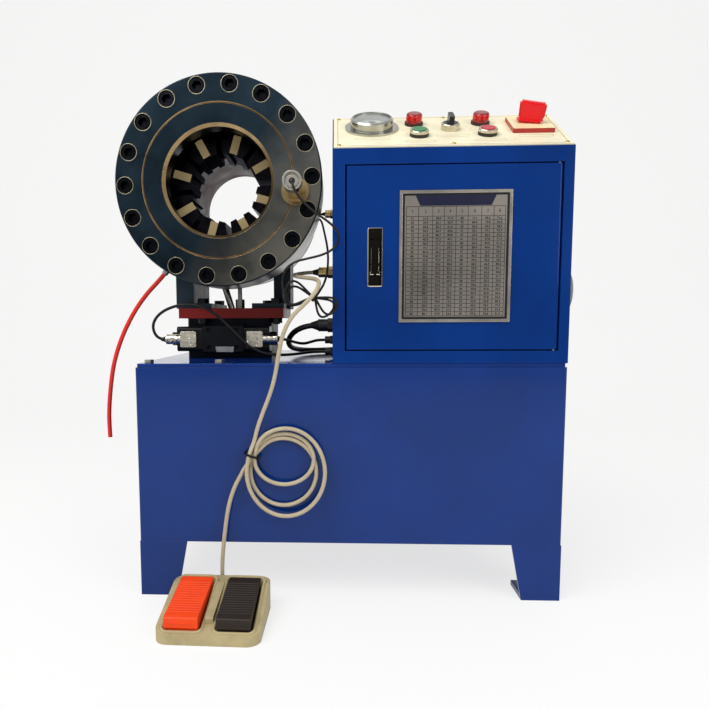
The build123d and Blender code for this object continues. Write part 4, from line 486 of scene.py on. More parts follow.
def dress(names, material):
    """Gives CAD nodes a finish through their objects' material slots."""
    for name in names:
        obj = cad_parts[name]
        for slot in obj.material_slots:
            slot.link = "OBJECT"
            slot.material = material


def on_panel(place, height=0.0):
    """Matrix of a place on the sloping panel: millimetres across and up the slope, metres above its steel."""
    across, up = place[0] * MM, place[1] * MM
    y = CABINET_LOW.y + up * math.cos(PANEL_SLOPE) - height * math.sin(PANEL_SLOPE)
    z = SLOPE_FOOT_Z + up * math.sin(PANEL_SLOPE) + height * math.cos(PANEL_SLOPE)
    return Matrix.Translation((across, y, z)) @ Matrix.Rotation(PANEL_SLOPE, 4, "X")


def lathe(profile, steps=48):
    """Mesh turned about local Z from (radius, height) corners, open where the ends don't meet the axis."""
    bm = bmesh.new()
    rings = []
    for radius, height in profile:
        if radius < 1e-7:
            rings.append([bm.verts.new((0.0, 0.0, height))])
            continue
        rings.append([bm.verts.new((radius * math.cos(a), radius * math.sin(a), height))
                      for a in (2 * math.pi * i / steps for i in range(steps))])
    for low, high in zip(rings, rings[1:]):
        for i in range(steps):
            j = (i + 1) % steps
            corners = [low[i % len(low)], low[j % len(low)], high[j % len(high)], high[i % len(high)]]
            unique = list(dict.fromkeys(corners))
            if len(unique) > 2:
                bm.faces.new(unique)
    bmesh.ops.recalc_face_normals(bm, faces=bm.faces[:])
    mesh = bpy.data.meshes.new("lathe")
    bm.to_mesh(mesh)
    bm.free()
    return mesh


def slabs(boxes, bevel=0.0):
    """Mesh of rectangular bars, each given by its two corners, with bevelled edges."""
    bm = bmesh.new()
    for low, high in boxes:
        middle = [(a + b) / 2 for a, b in zip(low, high)]
        size = [b - a for a, b in zip(low, high)]
        matrix = Matrix.Translation(middle) @ Matrix.Diagonal((*size, 1.0))
        bmesh.ops.create_cube(bm, size=1.0, matrix=matrix)
    if bevel:
        bmesh.ops.bevel(bm, geom=bm.edges[:], offset=bevel, segments=2, affect="EDGES")
    mesh = bpy.data.meshes.new("slabs")
    bm.to_mesh(mesh)
    bm.free()
    return mesh


def prism(outline, depth):
    """Mesh of a flat outline in local XZ, standing out towards -Y by its depth."""
    bm = bmesh.new()
    face = bm.faces.new([bm.verts.new((x, 0.0, z)) for x, z in outline])
    grown = bmesh.ops.extrude_face_region(bm, geom=[face])
    moved = [v for v in grown["geom"] if isinstance(v, bmesh.types.BMVert)]
    bmesh.ops.translate(bm, verts=moved, vec=(0.0, -depth, 0.0))
    bmesh.ops.recalc_face_normals(bm, faces=bm.faces[:])
    mesh = bpy.data.meshes.new("prism")
    bm.to_mesh(mesh)
    bm.free()
    return mesh


def rounded_outline(width, height, radius, steps=5):
    points = []
    for cx, cy, start in ((1, 1, 0), (-1, 1, 90), (-1, -1, 180), (1, -1, 270)):
        for i in range(steps + 1):
            angle = math.radians(start + 90 * i / steps)
            points.append((cx * (width / 2 - radius) + radius * math.cos(angle),
                           cy * (height / 2 - radius) + radius * math.sin(angle)))
    return points


def rounded_ring(width, height, radius, profile):
    """Mesh swept round a rounded rectangle in local XY, from (inset, height) corners of its section."""
    bm = bmesh.new()
    rings = []
    for inset, level in profile:
        corners = rounded_outline(width - 2 * inset, height - 2 * inset, max(radius - inset, 0.1 * MM))
        rings.append([bm.verts.new((x, y, level)) for x, y in corners])
    for low, high in zip(rings, rings[1:]):
        for i in range(len(low)):
            j = (i + 1) % len(low)
            bm.faces.new((low[i], low[j], high[j], high[i]))
    bmesh.ops.recalc_face_normals(bm, faces=bm.faces[:])
    mesh = bpy.data.meshes.new("rounded_ring")
    bm.to_mesh(mesh)
    bm.free()
    return mesh


def printed_frame(width, height, line, radius):
    """Thin printed frame with rounded corners, raised by the ink's thickness."""
    depth = 0.12 * MM
    return rounded_ring(width, height, radius, [(0.0, 0.0), (0.0, depth), (line, depth), (line, 0.0)])


def join_meshes(name, meshes):
    """One mesh of several."""
    bm = bmesh.new()
    for mesh in meshes:
        bm.from_mesh(mesh)
    joined = bpy.data.meshes.new(name)
    bm.to_mesh(joined)
    bm.free()
    return joined


def writing(name, text, size, place, material, body, line_gap=1.0, bold=0.0):
    """Plain numbers printed on a surface: the text lies in the local XY plane of its place."""
    data = bpy.data.curves.new(name, "FONT")
    data.body = text
    data.size = size
    data.align_x = "CENTER"
    data.offset = bold
    data.align_y = "CENTER" if "\n" not in text else "TOP_BASELINE"
    data.space_line = line_gap
    data.resolution_u = 2
    data.materials.append(material)
    obj = bpy.data.objects.new(name, data)
    bpy.context.scene.collection.objects.link(obj)
    obj.matrix_world = place
    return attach(obj, body)


def cord_line(name, points, diameter, material, body):
    """Round cord along one smooth curve with the route's points, in millimetres, as its control points."""
    data = bpy.data.curves.new(name, "CURVE")
    data.dimensions = "3D"
    data.bevel_depth = diameter / 2
    data.bevel_resolution = 5
    data.use_fill_caps = True
    spline = data.splines.new("NURBS")
    spline.points.add(len(points) - 1)
    for target, (x, y, z) in zip(spline.points, points):
        target.co = (x * MM, y * MM, z * MM, 1.0)
    spline.order_u = 3
    spline.use_endpoint_u = True
    spline.resolution_u = 8
    data.materials.append(material)
    obj = bpy.data.objects.new(name, data)
    bpy.context.scene.collection.objects.link(obj)
    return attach(obj, body)


def aim(direction):
    """Rotation that turns local Z along a direction."""
    return Vector(direction).to_track_quat("Z", "Y").to_matrix().to_4x4()


def across_frame(direction):
    """Rotation that turns local Z along a direction square to Y, and keeps local Y in depth."""
    along = Vector(direction).normalized()
    depth = Vector((0.0, 1.0, 0.0))
    return Matrix((depth.cross(along), depth, along)).transposed().to_4x4()


# Operators, one for each group of pieces
class CrimperOperator:
    bl_options = {"REGISTER", "UNDO"}


class CRIMPER_OT_stage(CrimperOperator, bpy.types.Operator):
    """Sets the pale floor and backdrop, the soft lamps and the camera"""
    bl_idname = "crimper.stage"
    bl_label = "Stage"

    def execute(self, context):
        settings = context.scene.crimper_stage
        self.make_backdrop()
        self.make_world(context.scene, settings)
        self.make_lamp("key_lamp", (-1.1, -1.5, 2.3), (0.0, 0.0, 0.45), 1.8, settings.key_power)
        self.make_lamp("fill_lamp", (1.6, -1.9, 1.2), (0.0, 0.0, 0.45), 1.2, settings.fill_power)
        self.make_camera(context.scene)
        context.scene.view_settings.view_transform = "Standard"
        return {"FINISHED"}

    def make_backdrop(self):
        """Floor that sweeps up into a wall in one smooth curve."""
        radius = 0.9
        profile = [(-4.0, 0.0), (1.6, 0.0)]
        for i in range(1, 13):
            angle = math.radians(90 * i / 12)
            profile.append((1.6 + radius * math.sin(angle), radius * (1 - math.cos(angle))))
        profile.append((1.6 + radius, 4.0))
        bm = bmesh.new()
        left = [bm.verts.new((-5.0, y, z)) for y, z in profile]
        right = [bm.verts.new((5.0, y, z)) for y, z in profile]
        for i in range(len(profile) - 1):
            bm.faces.new((left[i], right[i], right[i + 1], left[i + 1]))
        mesh = bpy.data.meshes.new("backdrop")
        bm.to_mesh(mesh)
        bm.free()
        mesh.shade_smooth()
        mesh.materials.append(self.backdrop_paper())
        obj = bpy.data.objects.new("backdrop", mesh)
        bpy.context.scene.collection.objects.link(obj)

    def backdrop_paper(self):
        """Matt white background paper that keeps a soft shadow."""
        material, tree, shader = start_material("background_paper", {
            "Base Color": tint("#f1f1ef"), "Roughness": 0.9})
        point = surface_point(tree)
        relief(tree, shader, point, 3.0, 0.02, 1.0)
        path = add_node(tree, "ShaderNodeLightPath", {})
        seen = calc(tree, "MAXIMUM", path.outputs["Is Camera Ray"], path.outputs["Is Glossy Ray"])
        seen = calc(tree, "MAXIMUM", seen, path.outputs["Is Transmission Ray"])
        share = calc(tree, "MULTIPLY", seen, 0.72)
        glow = add_node(tree, "ShaderNodeEmission", {"Color": (1.0, 1.0, 1.0, 1.0), "Strength": 1.0})
        mix = add_node(tree, "ShaderNodeMixShader", {
            0: share, 1: shader.outputs["BSDF"], 2: glow.outputs["Emission"]})
        tree.links.new(mix.outputs["Shader"], tree.nodes["Material Output"].inputs["Surface"])
        return material

    def make_world(self, scene, settings):
        """Even room light, a little brighter from above than from the sides."""
        world = bpy.data.worlds.new("room")
        world.use_nodes = True
        tree = world.node_tree
        scene.world = world
        place = add_node(tree, "ShaderNodeTexCoord", {})
        level = add_node(tree, "ShaderNodeMapRange", {
            "Value": split(tree, place.outputs["Generated"])["Z"],
            "From Min": -0.2, "From Max": 1.0, "To Min": 0.75, "To Max": 1.25})
        strength = calc(tree, "MULTIPLY", level.outputs["Result"], settings.sky)
        background = tree.nodes["Background"]
        background.inputs["Color"].default_value = (1.0, 1.0, 1.0, 1.0)
        tree.links.new(strength, background.inputs["Strength"])

    def make_lamp(self, name, place, target, size, power):
        data = bpy.data.lights.new(name, "AREA")
        data.shape = "SQUARE"
        data.size = size
        data.energy = power
        obj = bpy.data.objects.new(name, data)
        bpy.context.scene.collection.objects.link(obj)
        away = Vector(target) - Vector(place)
        obj.matrix_world = Matrix.Translation(place) @ away.to_track_quat("-Z", "Y").to_matrix().to_4x4()

    def make_camera(self, scene):
        """Camera at the photograph's viewpoint, solved from the machine's straight edges."""
        data = bpy.data.cameras.new("camera")
        data.sensor_width = 36.0
        data.lens = 31.902
        data.shift_x = 0.0673
        data.shift_y = 0.0390
        obj = bpy.data.objects.new("camera", data)
        scene.collection.objects.link(obj)
        yaw, pitch, roll = -0.0451, 0.0990, -0.0041
        forward = Vector((math.sin(yaw) * math.cos(pitch), math.cos(yaw) * math.cos(pitch), -math.sin(pitch)))
        level = Vector((math.cos(yaw), -math.sin(yaw), 0.0))
        upward = level.cross(forward)
        right = math.cos(roll) * level + math.sin(roll) * upward
        up = math.cos(roll) * upward - math.sin(roll) * level
        turn = Matrix((right, up, -forward)).transposed().to_4x4()
        obj.matrix_world = Matrix.Translation((-0.0201, -1.1981, 0.4448)) @ turn
        scene.camera = obj


class CRIMPER_OT_paintwork(CrimperOperator, bpy.types.Operator):
    """Finishes the tank, legs, cover, cabinet and door"""
    bl_idname = "crimper.paintwork"
    bl_label = "Paintwork"

    def execute(self, context):
        dress(["tank_shell", "legs"], sprayed_enamel("tank_gloss_enamel", colour("tank"), 0.26))
        dress(["tank_cover"], sprayed_enamel("cover_gloss_enamel", colour("cover"), 0.26))
        dress(["cabinet_shell", "door"], sprayed_enamel("cabinet_gloss_enamel", colour("cabinet"), 0.15))
        dress(["door_hinges"], machined_metal("zinc_plated_hinge_steel", "#a9a79c", 0.34))
        # The bolts of the tank cover are plated, those of the head's stand above them are black
        dress(["hex_bolts"], two_finishes("bolt_steel", beyond("Z", COVER_HIGH.z + 40 * MM),
                                          (tint("#a9a79c"), 1.0, 0.34), (tint("#26282b"), 1.0, 0.34)))
        self.make_fan_guard()
        return {"FINISHED"}

    def make_fan_guard(self):
        """Round fan guard on the cabinet's right wall, seen edge-on from the front."""
        mesh = lathe([(0.0, 5.5 * MM), (10.0 * MM, 5.5 * MM), (11.0 * MM, 3.0 * MM), (15.0 * MM, 3.0 * MM),
                      (16.0 * MM, 6.2 * MM), (21.0 * MM, 6.2 * MM), (22.0 * MM, 3.0 * MM), (26.0 * MM, 3.0 * MM),
                      (27.0 * MM, 7.0 * MM), (32.0 * MM, 7.0 * MM), (34.0 * MM, 5.0 * MM), (34.0 * MM, 0.0)], 40)
        mesh.transform(Matrix.Translation((CABINET_HIGH.x, CABINET_LOW.y + 40 * MM, CABINET_LOW.z + 111 * MM))
                       @ aim((1.0, 0.0, 0.0)))
        piece("fan_guard", mesh, moulded_plastic("fan_guard_grey_nylon", tint("#80837f"), 0.4), "root", 40)


class CRIMPER_OT_head(CrimperOperator, bpy.types.Operator):
    """Finishes the crimping head, its screws and its dies"""
    bl_idname = "crimper.head"
    bl_label = "Crimping head"

    def execute(self, context):
        dress(["head_flange", "cone_ring", "head_body"], turned_steel("blued_turned_steel", colour("head")))
        dress(["rear_cover"], primed_throat("primed_and_turned_steel", colour("head")))
        dress(["flange_screws"], black_oxide("black_oxide_screw_steel", "#15171b", 0.26))
        dress(["piston"], black_oxide("hardened_piston_steel", "#2c2a2a", 0.3))
        self.make_counterbore_rims()
        die_steel = black_oxide("black_hardened_die_steel", "#161418", 0.26, 0.7)
        strip = satin_enamel("die_marking_paint", colour("die_strip"), 0.2)
        dies = sorted(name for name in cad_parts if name.startswith("master_die_"))
        dress(dies, die_steel)
        for index, name in enumerate(dies):
            angle = math.radians(DIE_START_DEG + 360 * index / len(dies))
            self.make_strip(name, angle, strip)
        return {"FINISHED"}

    def make_counterbore_rims(self):
        """Bright cut rims of the screws' counterbores."""
        rims = []
        for index in range(SCREW_COUNT):
            angle = math.radians(SCREW_START_DEG + 360 * index / SCREW_COUNT)
            rim = lathe([(COUNTERBORE_RADIUS + step * MM, height * MM) for step, height in (
                (0.0, -0.02), (0.1, 0.15), (0.8, 0.15), (0.95, -0.02))], 40)
            place = (HEAD.x + SCREW_CIRCLE * math.cos(angle), FACE_Y, HEAD.z + SCREW_CIRCLE * math.sin(angle))
            rim.transform(Matrix.Translation(place) @ Matrix.Rotation(math.radians(90), 4, "X"))
            rims.append(rim)
        piece("counterbore_rims", join_meshes("counterbore_rims", rims),
              machined_metal("bright_cut_steel_edge", "#a89f86", 0.3), "root", 40)

    def make_strip(self, die, angle, material):
        """Painted strip in the shallow recess on a die's front face."""
        half = bpy.context.scene.crimper_sizes.strip_width / 2
        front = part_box(die)[0].y
        inner, outer = STRIP_RADII
        mesh = slabs([((inner, front + 0.3 * MM, -half), (outer, front + 1.45 * MM, half))], 0.25 * MM)
        mesh.transform(Matrix.Translation((HEAD.x, 0.0, HEAD.z)) @ Matrix.Rotation(-angle, 4, "Y"))
        piece(die.replace("master_die", "die_strip"), mesh, material, die.replace("master_", ""))


class CRIMPER_OT_underhead(CrimperOperator, bpy.types.Operator):
    """Finishes the head stand, the red plate, the manifold and the valve"""
    bl_idname = "crimper.underhead"
    bl_label = "Stand and valve"

    def execute(self, context):
        dress(["head_stand"], cast_paint("stand_painted_steel", colour("stand"), 2.0, 0.05))
        dress(["mount_plate"], satin_enamel("red_primer_plate", colour("red_plate")))
        dress(["manifold_block"], cast_paint("manifold_dark_paint", tint("#10182b"), 1.5, 0.04))
        dress(["valve_body"], cast_paint("valve_navy_paint", tint("#04060e"), 1.2, 0.03, 0.8))
        dress(["solenoids"], moulded_plastic("coil_black_nylon", tint("#0f1013"), 0.34))
        # Chromed zinc castings with a wavy skin, so that they mirror the room in small bright and dark patches
        dress(["connectors"], machined_metal("chromed_connector_casting", "#cfc8b8", 0.08, 5.0, 0.8, 1.6))
        dress(["proximity_sensor"], two_finishes("sensor_brass_and_chrome", beyond("Y", -231.3 * MM),
                                                 (tint("#d6d2c8"), 1.0, 0.12), (tint("#b39b6d"), 1.0, 0.24)))
        self.make_sensor_boot()
        dress(["pipe_fittings"], machined_metal("zinc_plated_pipe_steel", "#8d8c86", 0.28))
        self.make_valve_label()
        return {"FINISHED"}

    def make_valve_label(self):
        """Bare label low on the front of the valve, wider at its top."""
        width, height = 33.0 * MM, 9.5 * MM
        outline = [(-width / 2, height), (width / 2, height), (width * 0.455, 0.0), (-width * 0.455, 0.0)]
        mesh = prism(outline, 0.4 * MM)
        x = (VALVE_LOW.x + VALVE_HIGH.x) / 2 + 3.3 * MM
        mesh.transform(Matrix.Translation((x, VALVE_LOW.y + 0.05 * MM, VALVE_LOW.z + 1.4 * MM)))
        piece("valve_label", mesh, machined_metal("label_aluminium", "#9fa1a2", 0.45), "root")

    def make_sensor_boot(self):
        """Dark boot in the sensor's cap, where its cable comes out."""
        start = Vector(SENSOR_CABLE[0]) * MM
        mesh = lathe([(4.6 * MM, -0.5 * MM), (4.6 * MM, 0.4 * MM), (2.6 * MM, 1.6 * MM), (1.6 * MM, 1.6 * MM)], 32)
        mesh.transform(Matrix.Translation(start) @ aim((0.0, -1.0, 0.0)))
        piece("sensor_boot", mesh, moulded_plastic("sensor_boot_rubber", tint("#101012"), 0.4), "root", 40)


class CRIMPER_OT_panel(CrimperOperator, bpy.types.Operator):
    """Finishes the control panel with its border line, bare label frames and screws"""
    bl_idname = "crimper.panel"
    bl_label = "Control panel"

    def execute(self, context):
        dress(["control_panel"], satin_enamel("cream_panel_enamel", colour("panel"), 0.5))
        line = ink("panel_brown_ink", "#6f5a3c")
        width = CABINET_HIGH.x - CABINET_LOW.x
        middle = ((CABINET_LOW.x + CABINET_HIGH.x) / 2 / MM, PANEL_LENGTH / 2 / MM)
        border = printed_frame(width - 16 * MM, PANEL_LENGTH - 12 * MM, 0.6 * MM, 3 * MM)
        border.transform(on_panel(middle, PANEL_TOP))
        piece("panel_border_line", border, line, "root")
        label_ink = ink("panel_grey_ink", "#a2937a")
        for number, (across, up, size) in enumerate(LABEL_PLACES, 1):
            mesh = printed_frame(size * MM, 9.0 * MM, 0.5 * MM, 2.0 * MM)
            mesh.transform(on_panel((across, up), PANEL_TOP))
            piece("label_frame_%d" % number, mesh, label_ink, "root")
        head = machined_metal("brass_panel_screw", "#b9a05c", 0.25)
        for number, place in enumerate(PANEL_SCREW_PLACES, 1):
            mesh = lathe([(0.0, 1.6 * MM), (1.6 * MM, 1.5 * MM), (2.9 * MM, 0.9 * MM), (3.4 * MM, 0.0)], 24)
            mesh.transform(on_panel(place, PANEL_TOP))
            piece("panel_screw_%d" % number, mesh, head, "root", 40)
        return {"FINISHED"}


class CRIMPER_OT_gauge(CrimperOperator, bpy.types.Operator):
    """Finishes the pressure gauge and prints its dial with plain numbers"""
    bl_idname = "crimper.gauge"
    bl_label = "Pressure gauge"

    def execute(self, context):
        dress(["gauge_case"], machined_metal("stainless_gauge_case", "#b5b4ac", 0.2))
        dress(["gauge_glass"], instrument_glass("gauge_glass_pane"))
        dress(["gauge_needle"], moulded_plastic("needle_black_lacquer", tint("#101012"), 0.3))
        low = 4.1 * MM
        dial = lathe([(1.8 * MM, 0.0), (29.2 * MM, 0.0), (29.2 * MM, -0.8 * MM)], 64)
        dial.transform(on_panel(GAUGE_PLACE, low + 0.4 * MM))
        piece("gauge_dial", dial, moulded_plastic("dial_white_lacquer", tint("#f3f1ea"), 0.4), "root", 30)
        black = ink("dial_black_ink", "#141414")
        self.print_ticks(low + 0.45 * MM, black)
        for index in range(7):
            angle = math.radians(225 - 45 * index)
            place = Matrix.Translation((19.0 * MM * math.cos(angle), 19.0 * MM * math.sin(angle), 0.0))
            writing("dial_number_%d" % index, str(10 * index), 5.2 * MM,
                    on_panel(GAUGE_PLACE, low + 0.5 * MM) @ place, black, "root")
        return {"FINISHED"}

    def print_ticks(self, height, material):
        bm = bmesh.new()
        for index in range(61):
            long = index % 10 == 0
            inner = (23.0 if long else 25.2) * MM
            outer, half = 28.0 * MM, (0.45 if long else 0.18) * MM
            turn = Matrix.Rotation(math.radians(225 - 4.5 * index), 4, "Z")
            corners = [turn @ Vector(c) for c in (
                (inner, -half, 0), (outer, -half, 0), (outer, half, 0), (inner, half, 0))]
            bm.faces.new([bm.verts.new(c) for c in corners])
        mesh = bpy.data.meshes.new("ticks")
        bm.to_mesh(mesh)
        bm.free()
        mesh.transform(on_panel(GAUGE_PLACE, height))
        piece("dial_ticks", mesh, material, "root")


class CRIMPER_OT_controls(CrimperOperator, bpy.types.Operator):
    """Finishes the lamps, push-buttons, selector and main switch"""
    bl_idname = "crimper.controls"
    bl_label = "Buttons and switches"

    def execute(self, context):
        # Chromed rims over black bodies; the selector's bezel is chromed all over
        dress(["panel_bezels"], two_finishes("chromed_bezel", self.bezel_feet, (tint("#cfc8b6"), 1.0, 0.14),
                                             (tint("#1d1b18"), 0.0, 0.45)))
        dress(["lamp_lenses"], clear_plastic("red_lamp_lens", tint("#e3161a"), 0.12))
        dress(["green_button"], moulded_plastic("green_button_cap", tint("#1f7a46"), 0.22))
        dress(["red_button"], moulded_plastic("red_button_cap", tint("#b3202a"), 0.22))
        dress(["selector_lever"], moulded_plastic("black_selector_grip", tint("#19191b"), 0.3))
        dress(["switch_plate"], two_finishes("cream_and_red_switch_plate", self.switch_sides,
                                             (tint("#efe0b2"), 0.0, 0.4), (tint("#b02a20"), 0.0, 0.35)))
        self.make_switch_handle()
        return {"FINISHED"}

    def bezel_feet(self, tree, point):
        """Mask of the lower half of the bezels, but for the selector's."""
        middle = (SELECTOR_LOW.x + SELECTOR_HIGH.x) / 2
        selector = calc(tree, "COMPARE", split(tree, point)["X"], middle, 17 * MM)
        other = calc(tree, "SUBTRACT", 1.0, selector)
        level = on_panel((0.0, 0.0), PANEL_TOP).translation.dot(PANEL_NORMAL)
        low = calc(tree, "LESS_THAN", along_vector(tree, point, PANEL_NORMAL), level + 5.2 * MM)
        return calc(tree, "MULTIPLY", low, other)

    def switch_sides(self, tree, point):
        """Mask of the switch plate's edges."""
        normal = add_node(tree, "ShaderNodeTexCoord", {})
        return calc(tree, "LESS_THAN", along_vector(tree, normal.outputs["Normal"], PANEL_NORMAL), 0.7)

    def make_switch_handle(self):
        """Broad thumb-turn of the main switch, on its low foot."""
        foot = slabs([((-21 * MM, -11 * MM, 0.0), (19 * MM, 11 * MM, 8.0 * MM))], 3.5 * MM)
        grip = slabs([((-20 * MM, -6.5 * MM, 5.0 * MM), (21 * MM, 6.5 * MM, 32.0 * MM))], 3.0 * MM)
        for vertex in grip.vertices:
            # The grip narrows a little towards its foot and its top slopes down to the right
            rise = max(vertex.co.z - 5.0 * MM, 0.0) / (27.0 * MM)
            vertex.co.x *= 0.94 + 0.06 * rise
            vertex.co.z -= 0.09 * rise * (vertex.co.x + 20 * MM)
        mesh = join_meshes("switch_handle_block", [foot, grip])
        middle = (SWITCH_LOW.x + SWITCH_HIGH.x) / 2 / MM
        turn = Matrix.Rotation(math.radians(-14.0), 4, "Z")
        mesh.transform(on_panel((middle, SWITCH_UP_SLOPE_MM), PANEL_TOP + 7.3 * MM) @ turn)
        handle = piece("switch_handle_block", mesh, moulded_plastic("red_switch_handle", tint("#df1a20"), 0.24),
                       "main_switch", 40)
        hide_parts("switch_handle")


class CRIMPER_OT_size_table(CrimperOperator, bpy.types.Operator):
    """Frames the size table on the door and prints it with plain numbers"""
    bl_idname = "crimper.size_table"
    bl_label = "Size table"

    COLUMNS_MM = (18.3, 21.2, 17.2, 17.7, 17.7, 20.1, 18.3, 17.0)
    ROW_TOP_MM = 38.5
    BAND_MM = 3.3
    RULE_MM = 0.36

    def execute(self, context):
        sizes = context.scene.crimper_sizes
        dress(["size_table_plate"], machined_metal("brushed_aluminium_plate", "#88827b", 0.42, 0.5, 0.4,
                                                   patch_mm=140.0))
        bright = machined_metal("polished_aluminium_rim", "#b3aea4", 0.2, patch_mm=60.0)
        black = ink("table_black_ink", "#0e0e14")
        navy = ink("table_navy_ink", "#0c0f2e")
        self.make_rim(sizes.table_margin, bright)
        self.make_lines(sizes, black)
        self.make_title_band(navy)
        self.print_numbers(sizes, black)
        return {"FINISHED"}

    def bar(self, x0, x1, z0, z1, depth):
        """Bar on the plate, from millimetres right of its left edge and up from its foot."""
        y = PLATE_LOW.y
        return ((PLATE_LOW.x + x0 * MM, y - depth * MM, PLATE_LOW.z + z0 * MM),
                (PLATE_LOW.x + x1 * MM, y + 0.05 * MM, PLATE_LOW.z + z1 * MM))

    def make_rim(self, margin, material):
        width = (PLATE_HIGH.x - PLATE_LOW.x) / MM
        height = (PLATE_HIGH.z - PLATE_LOW.z) / MM
        edge = margin / MM
        mesh = slabs([
            self.bar(0, width, 0, edge, 0.9), self.bar(0, width, height - edge, height, 0.9),
            self.bar(0, edge, edge, height - edge, 0.9), self.bar(width - edge, width, edge, height - edge, 0.9),
        ], 0.3 * MM)
        piece("size_table_rim", mesh, material, "door")

    def make_lines(self, sizes, material):
        """Black border inside the rim and the ruled grid."""
        width = (PLATE_HIGH.x - PLATE_LOW.x) / MM
        height = (PLATE_HIGH.z - PLATE_LOW.z) / MM
        edge = sizes.table_margin / MM
        band = self.BAND_MM
        inner = edge + band
        bars = [
            self.bar(edge, width - edge, edge, inner, 0.15),
            self.bar(edge, width - edge, height - inner, height - edge, 0.15),
            self.bar(edge, inner, inner, height - inner, 0.15),
            self.bar(width - inner, width - edge, inner, height - inner, 0.15),
        ]
        left = (width - sum(self.COLUMNS_MM)) / 2
        right = width - left
        top = height - 24.0
        first = height - self.ROW_TOP_MM
        pitch = self.row_pitch(sizes, height)
        for index in range(sizes.table_rows + 1):
            z = first - index * pitch
            bars.append(self.bar(left, right, z - self.RULE_MM, z + self.RULE_MM, 0.15))
        bars.append(self.bar(left, right, top - self.RULE_MM, top + self.RULE_MM, 0.15))
        x = left
        for step in (0.0,) + self.COLUMNS_MM:
            x += step
            bars.append(self.bar(x - self.RULE_MM, x + self.RULE_MM, first - sizes.table_rows * pitch, top, 0.16))
        piece("size_table_lines", slabs(bars), material, "door")

    def row_pitch(self, sizes, height):
        foot = sizes.table_margin / MM + 5.0
        return (height - self.ROW_TOP_MM - foot) / sizes.table_rows

    def make_title_band(self, material):
        """Bare dark band under the rim, narrower at its foot."""
        outline = [(-60.0, 0.0), (60.0, 0.0), (53.0, -15.0), (-53.0, -15.0)]
        mesh = prism([(x * MM, z * MM) for x, z in outline], 0.18 * MM)
        middle = (PLATE_LOW.x + PLATE_HIGH.x) / 2
        top = PLATE_HIGH.z - (bpy.context.scene.crimper_sizes.table_margin + self.BAND_MM * MM)
        mesh.transform(Matrix.Translation((middle, PLATE_LOW.y, top)))
        piece("size_table_band", mesh, material, "door")

    def print_numbers(self, sizes, material):
        chance = random.Random(7)
        height = (PLATE_HIGH.z - PLATE_LOW.z) / MM
        width = (PLATE_HIGH.x - PLATE_LOW.x) / MM
        pitch = self.row_pitch(sizes, height)
        x = (width - sum(self.COLUMNS_MM)) / 2
        for number, step in enumerate(self.COLUMNS_MM, 1):
            rows = []
            for _ in range(sizes.table_rows):
                rows.append(str(chance.randint(10, 99)) if number in (1, 5) else "%.1f" % chance.uniform(10, 99))
            place = self.print_place(x + step / 2, height - self.ROW_TOP_MM - pitch * 0.76)
            writing("size_table_column_%d" % number, "\n".join(rows), sizes.digit_height, place, material,
                    "door", pitch * MM / sizes.digit_height, 0.16 * MM)
            place = self.print_place(x + step / 2, height - 31.3)
            writing("size_table_heading_%d" % number, str(number), 7.0 * MM, place, material, "door")
            x += step

    def print_place(self, x, z):
        """Place of print on the plate's face, with its letters upright."""
        point = (PLATE_LOW.x + x * MM, PLATE_LOW.y - 0.2 * MM, PLATE_LOW.z + z * MM)
        return Matrix.Translation(point) @ Matrix.Rotation(math.radians(90), 4, "X")


class CRIMPER_OT_latch(CrimperOperator, bpy.types.Operator):
    """Finishes the door's swing-handle latch"""
    bl_idname = "crimper.latch"
    bl_label = "Door latch"

    def execute(self, context):
        # Black chrome over polished zinc, with painted highlights in pale metal on the faces where the edges lean
        finish = two_finishes("black_chrome_zinc_casting", lambda tree, point: leaning_faces(tree, 0.25, 0.94),
                              (tint("#24231f"), 1.0, 0.1), (tint("#e2dccb"), 1.0, 0.14), 3.0, 0.01, 0.6)
        dress(["latch_housing", "latch_lever"], finish)
        return {"FINISHED"}


class CRIMPER_OT_inner_gear(CrimperOperator, bpy.types.Operator):
    """Finishes the gear inside the cabinet, the motor and the pump"""
    bl_idname = "crimper.inner_gear"
    bl_label = "Motor, pump and switchgear"

    def execute(self, context):
        dress(["mounting_panel"], machined_metal("galvanised_sheet", "#a5a9aa", 0.4, 2.0))
        dress(["switchgear"], moulded_plastic("switchgear_grey_polyamide", tint("#8d9092"), 0.42))
        dress(["motor"], cast_paint("motor_blue_grey_paint", tint("#34506e"), 1.5, 0.03))
        dress(["motor_rotor"], machined_metal("ground_shaft_steel", "#8f8d88", 0.25))
        dress(["pump"], cast_paint("pump_grey_iron", tint("#4b4c4d"), 1.4, 0.05))
        return {"FINISHED"}


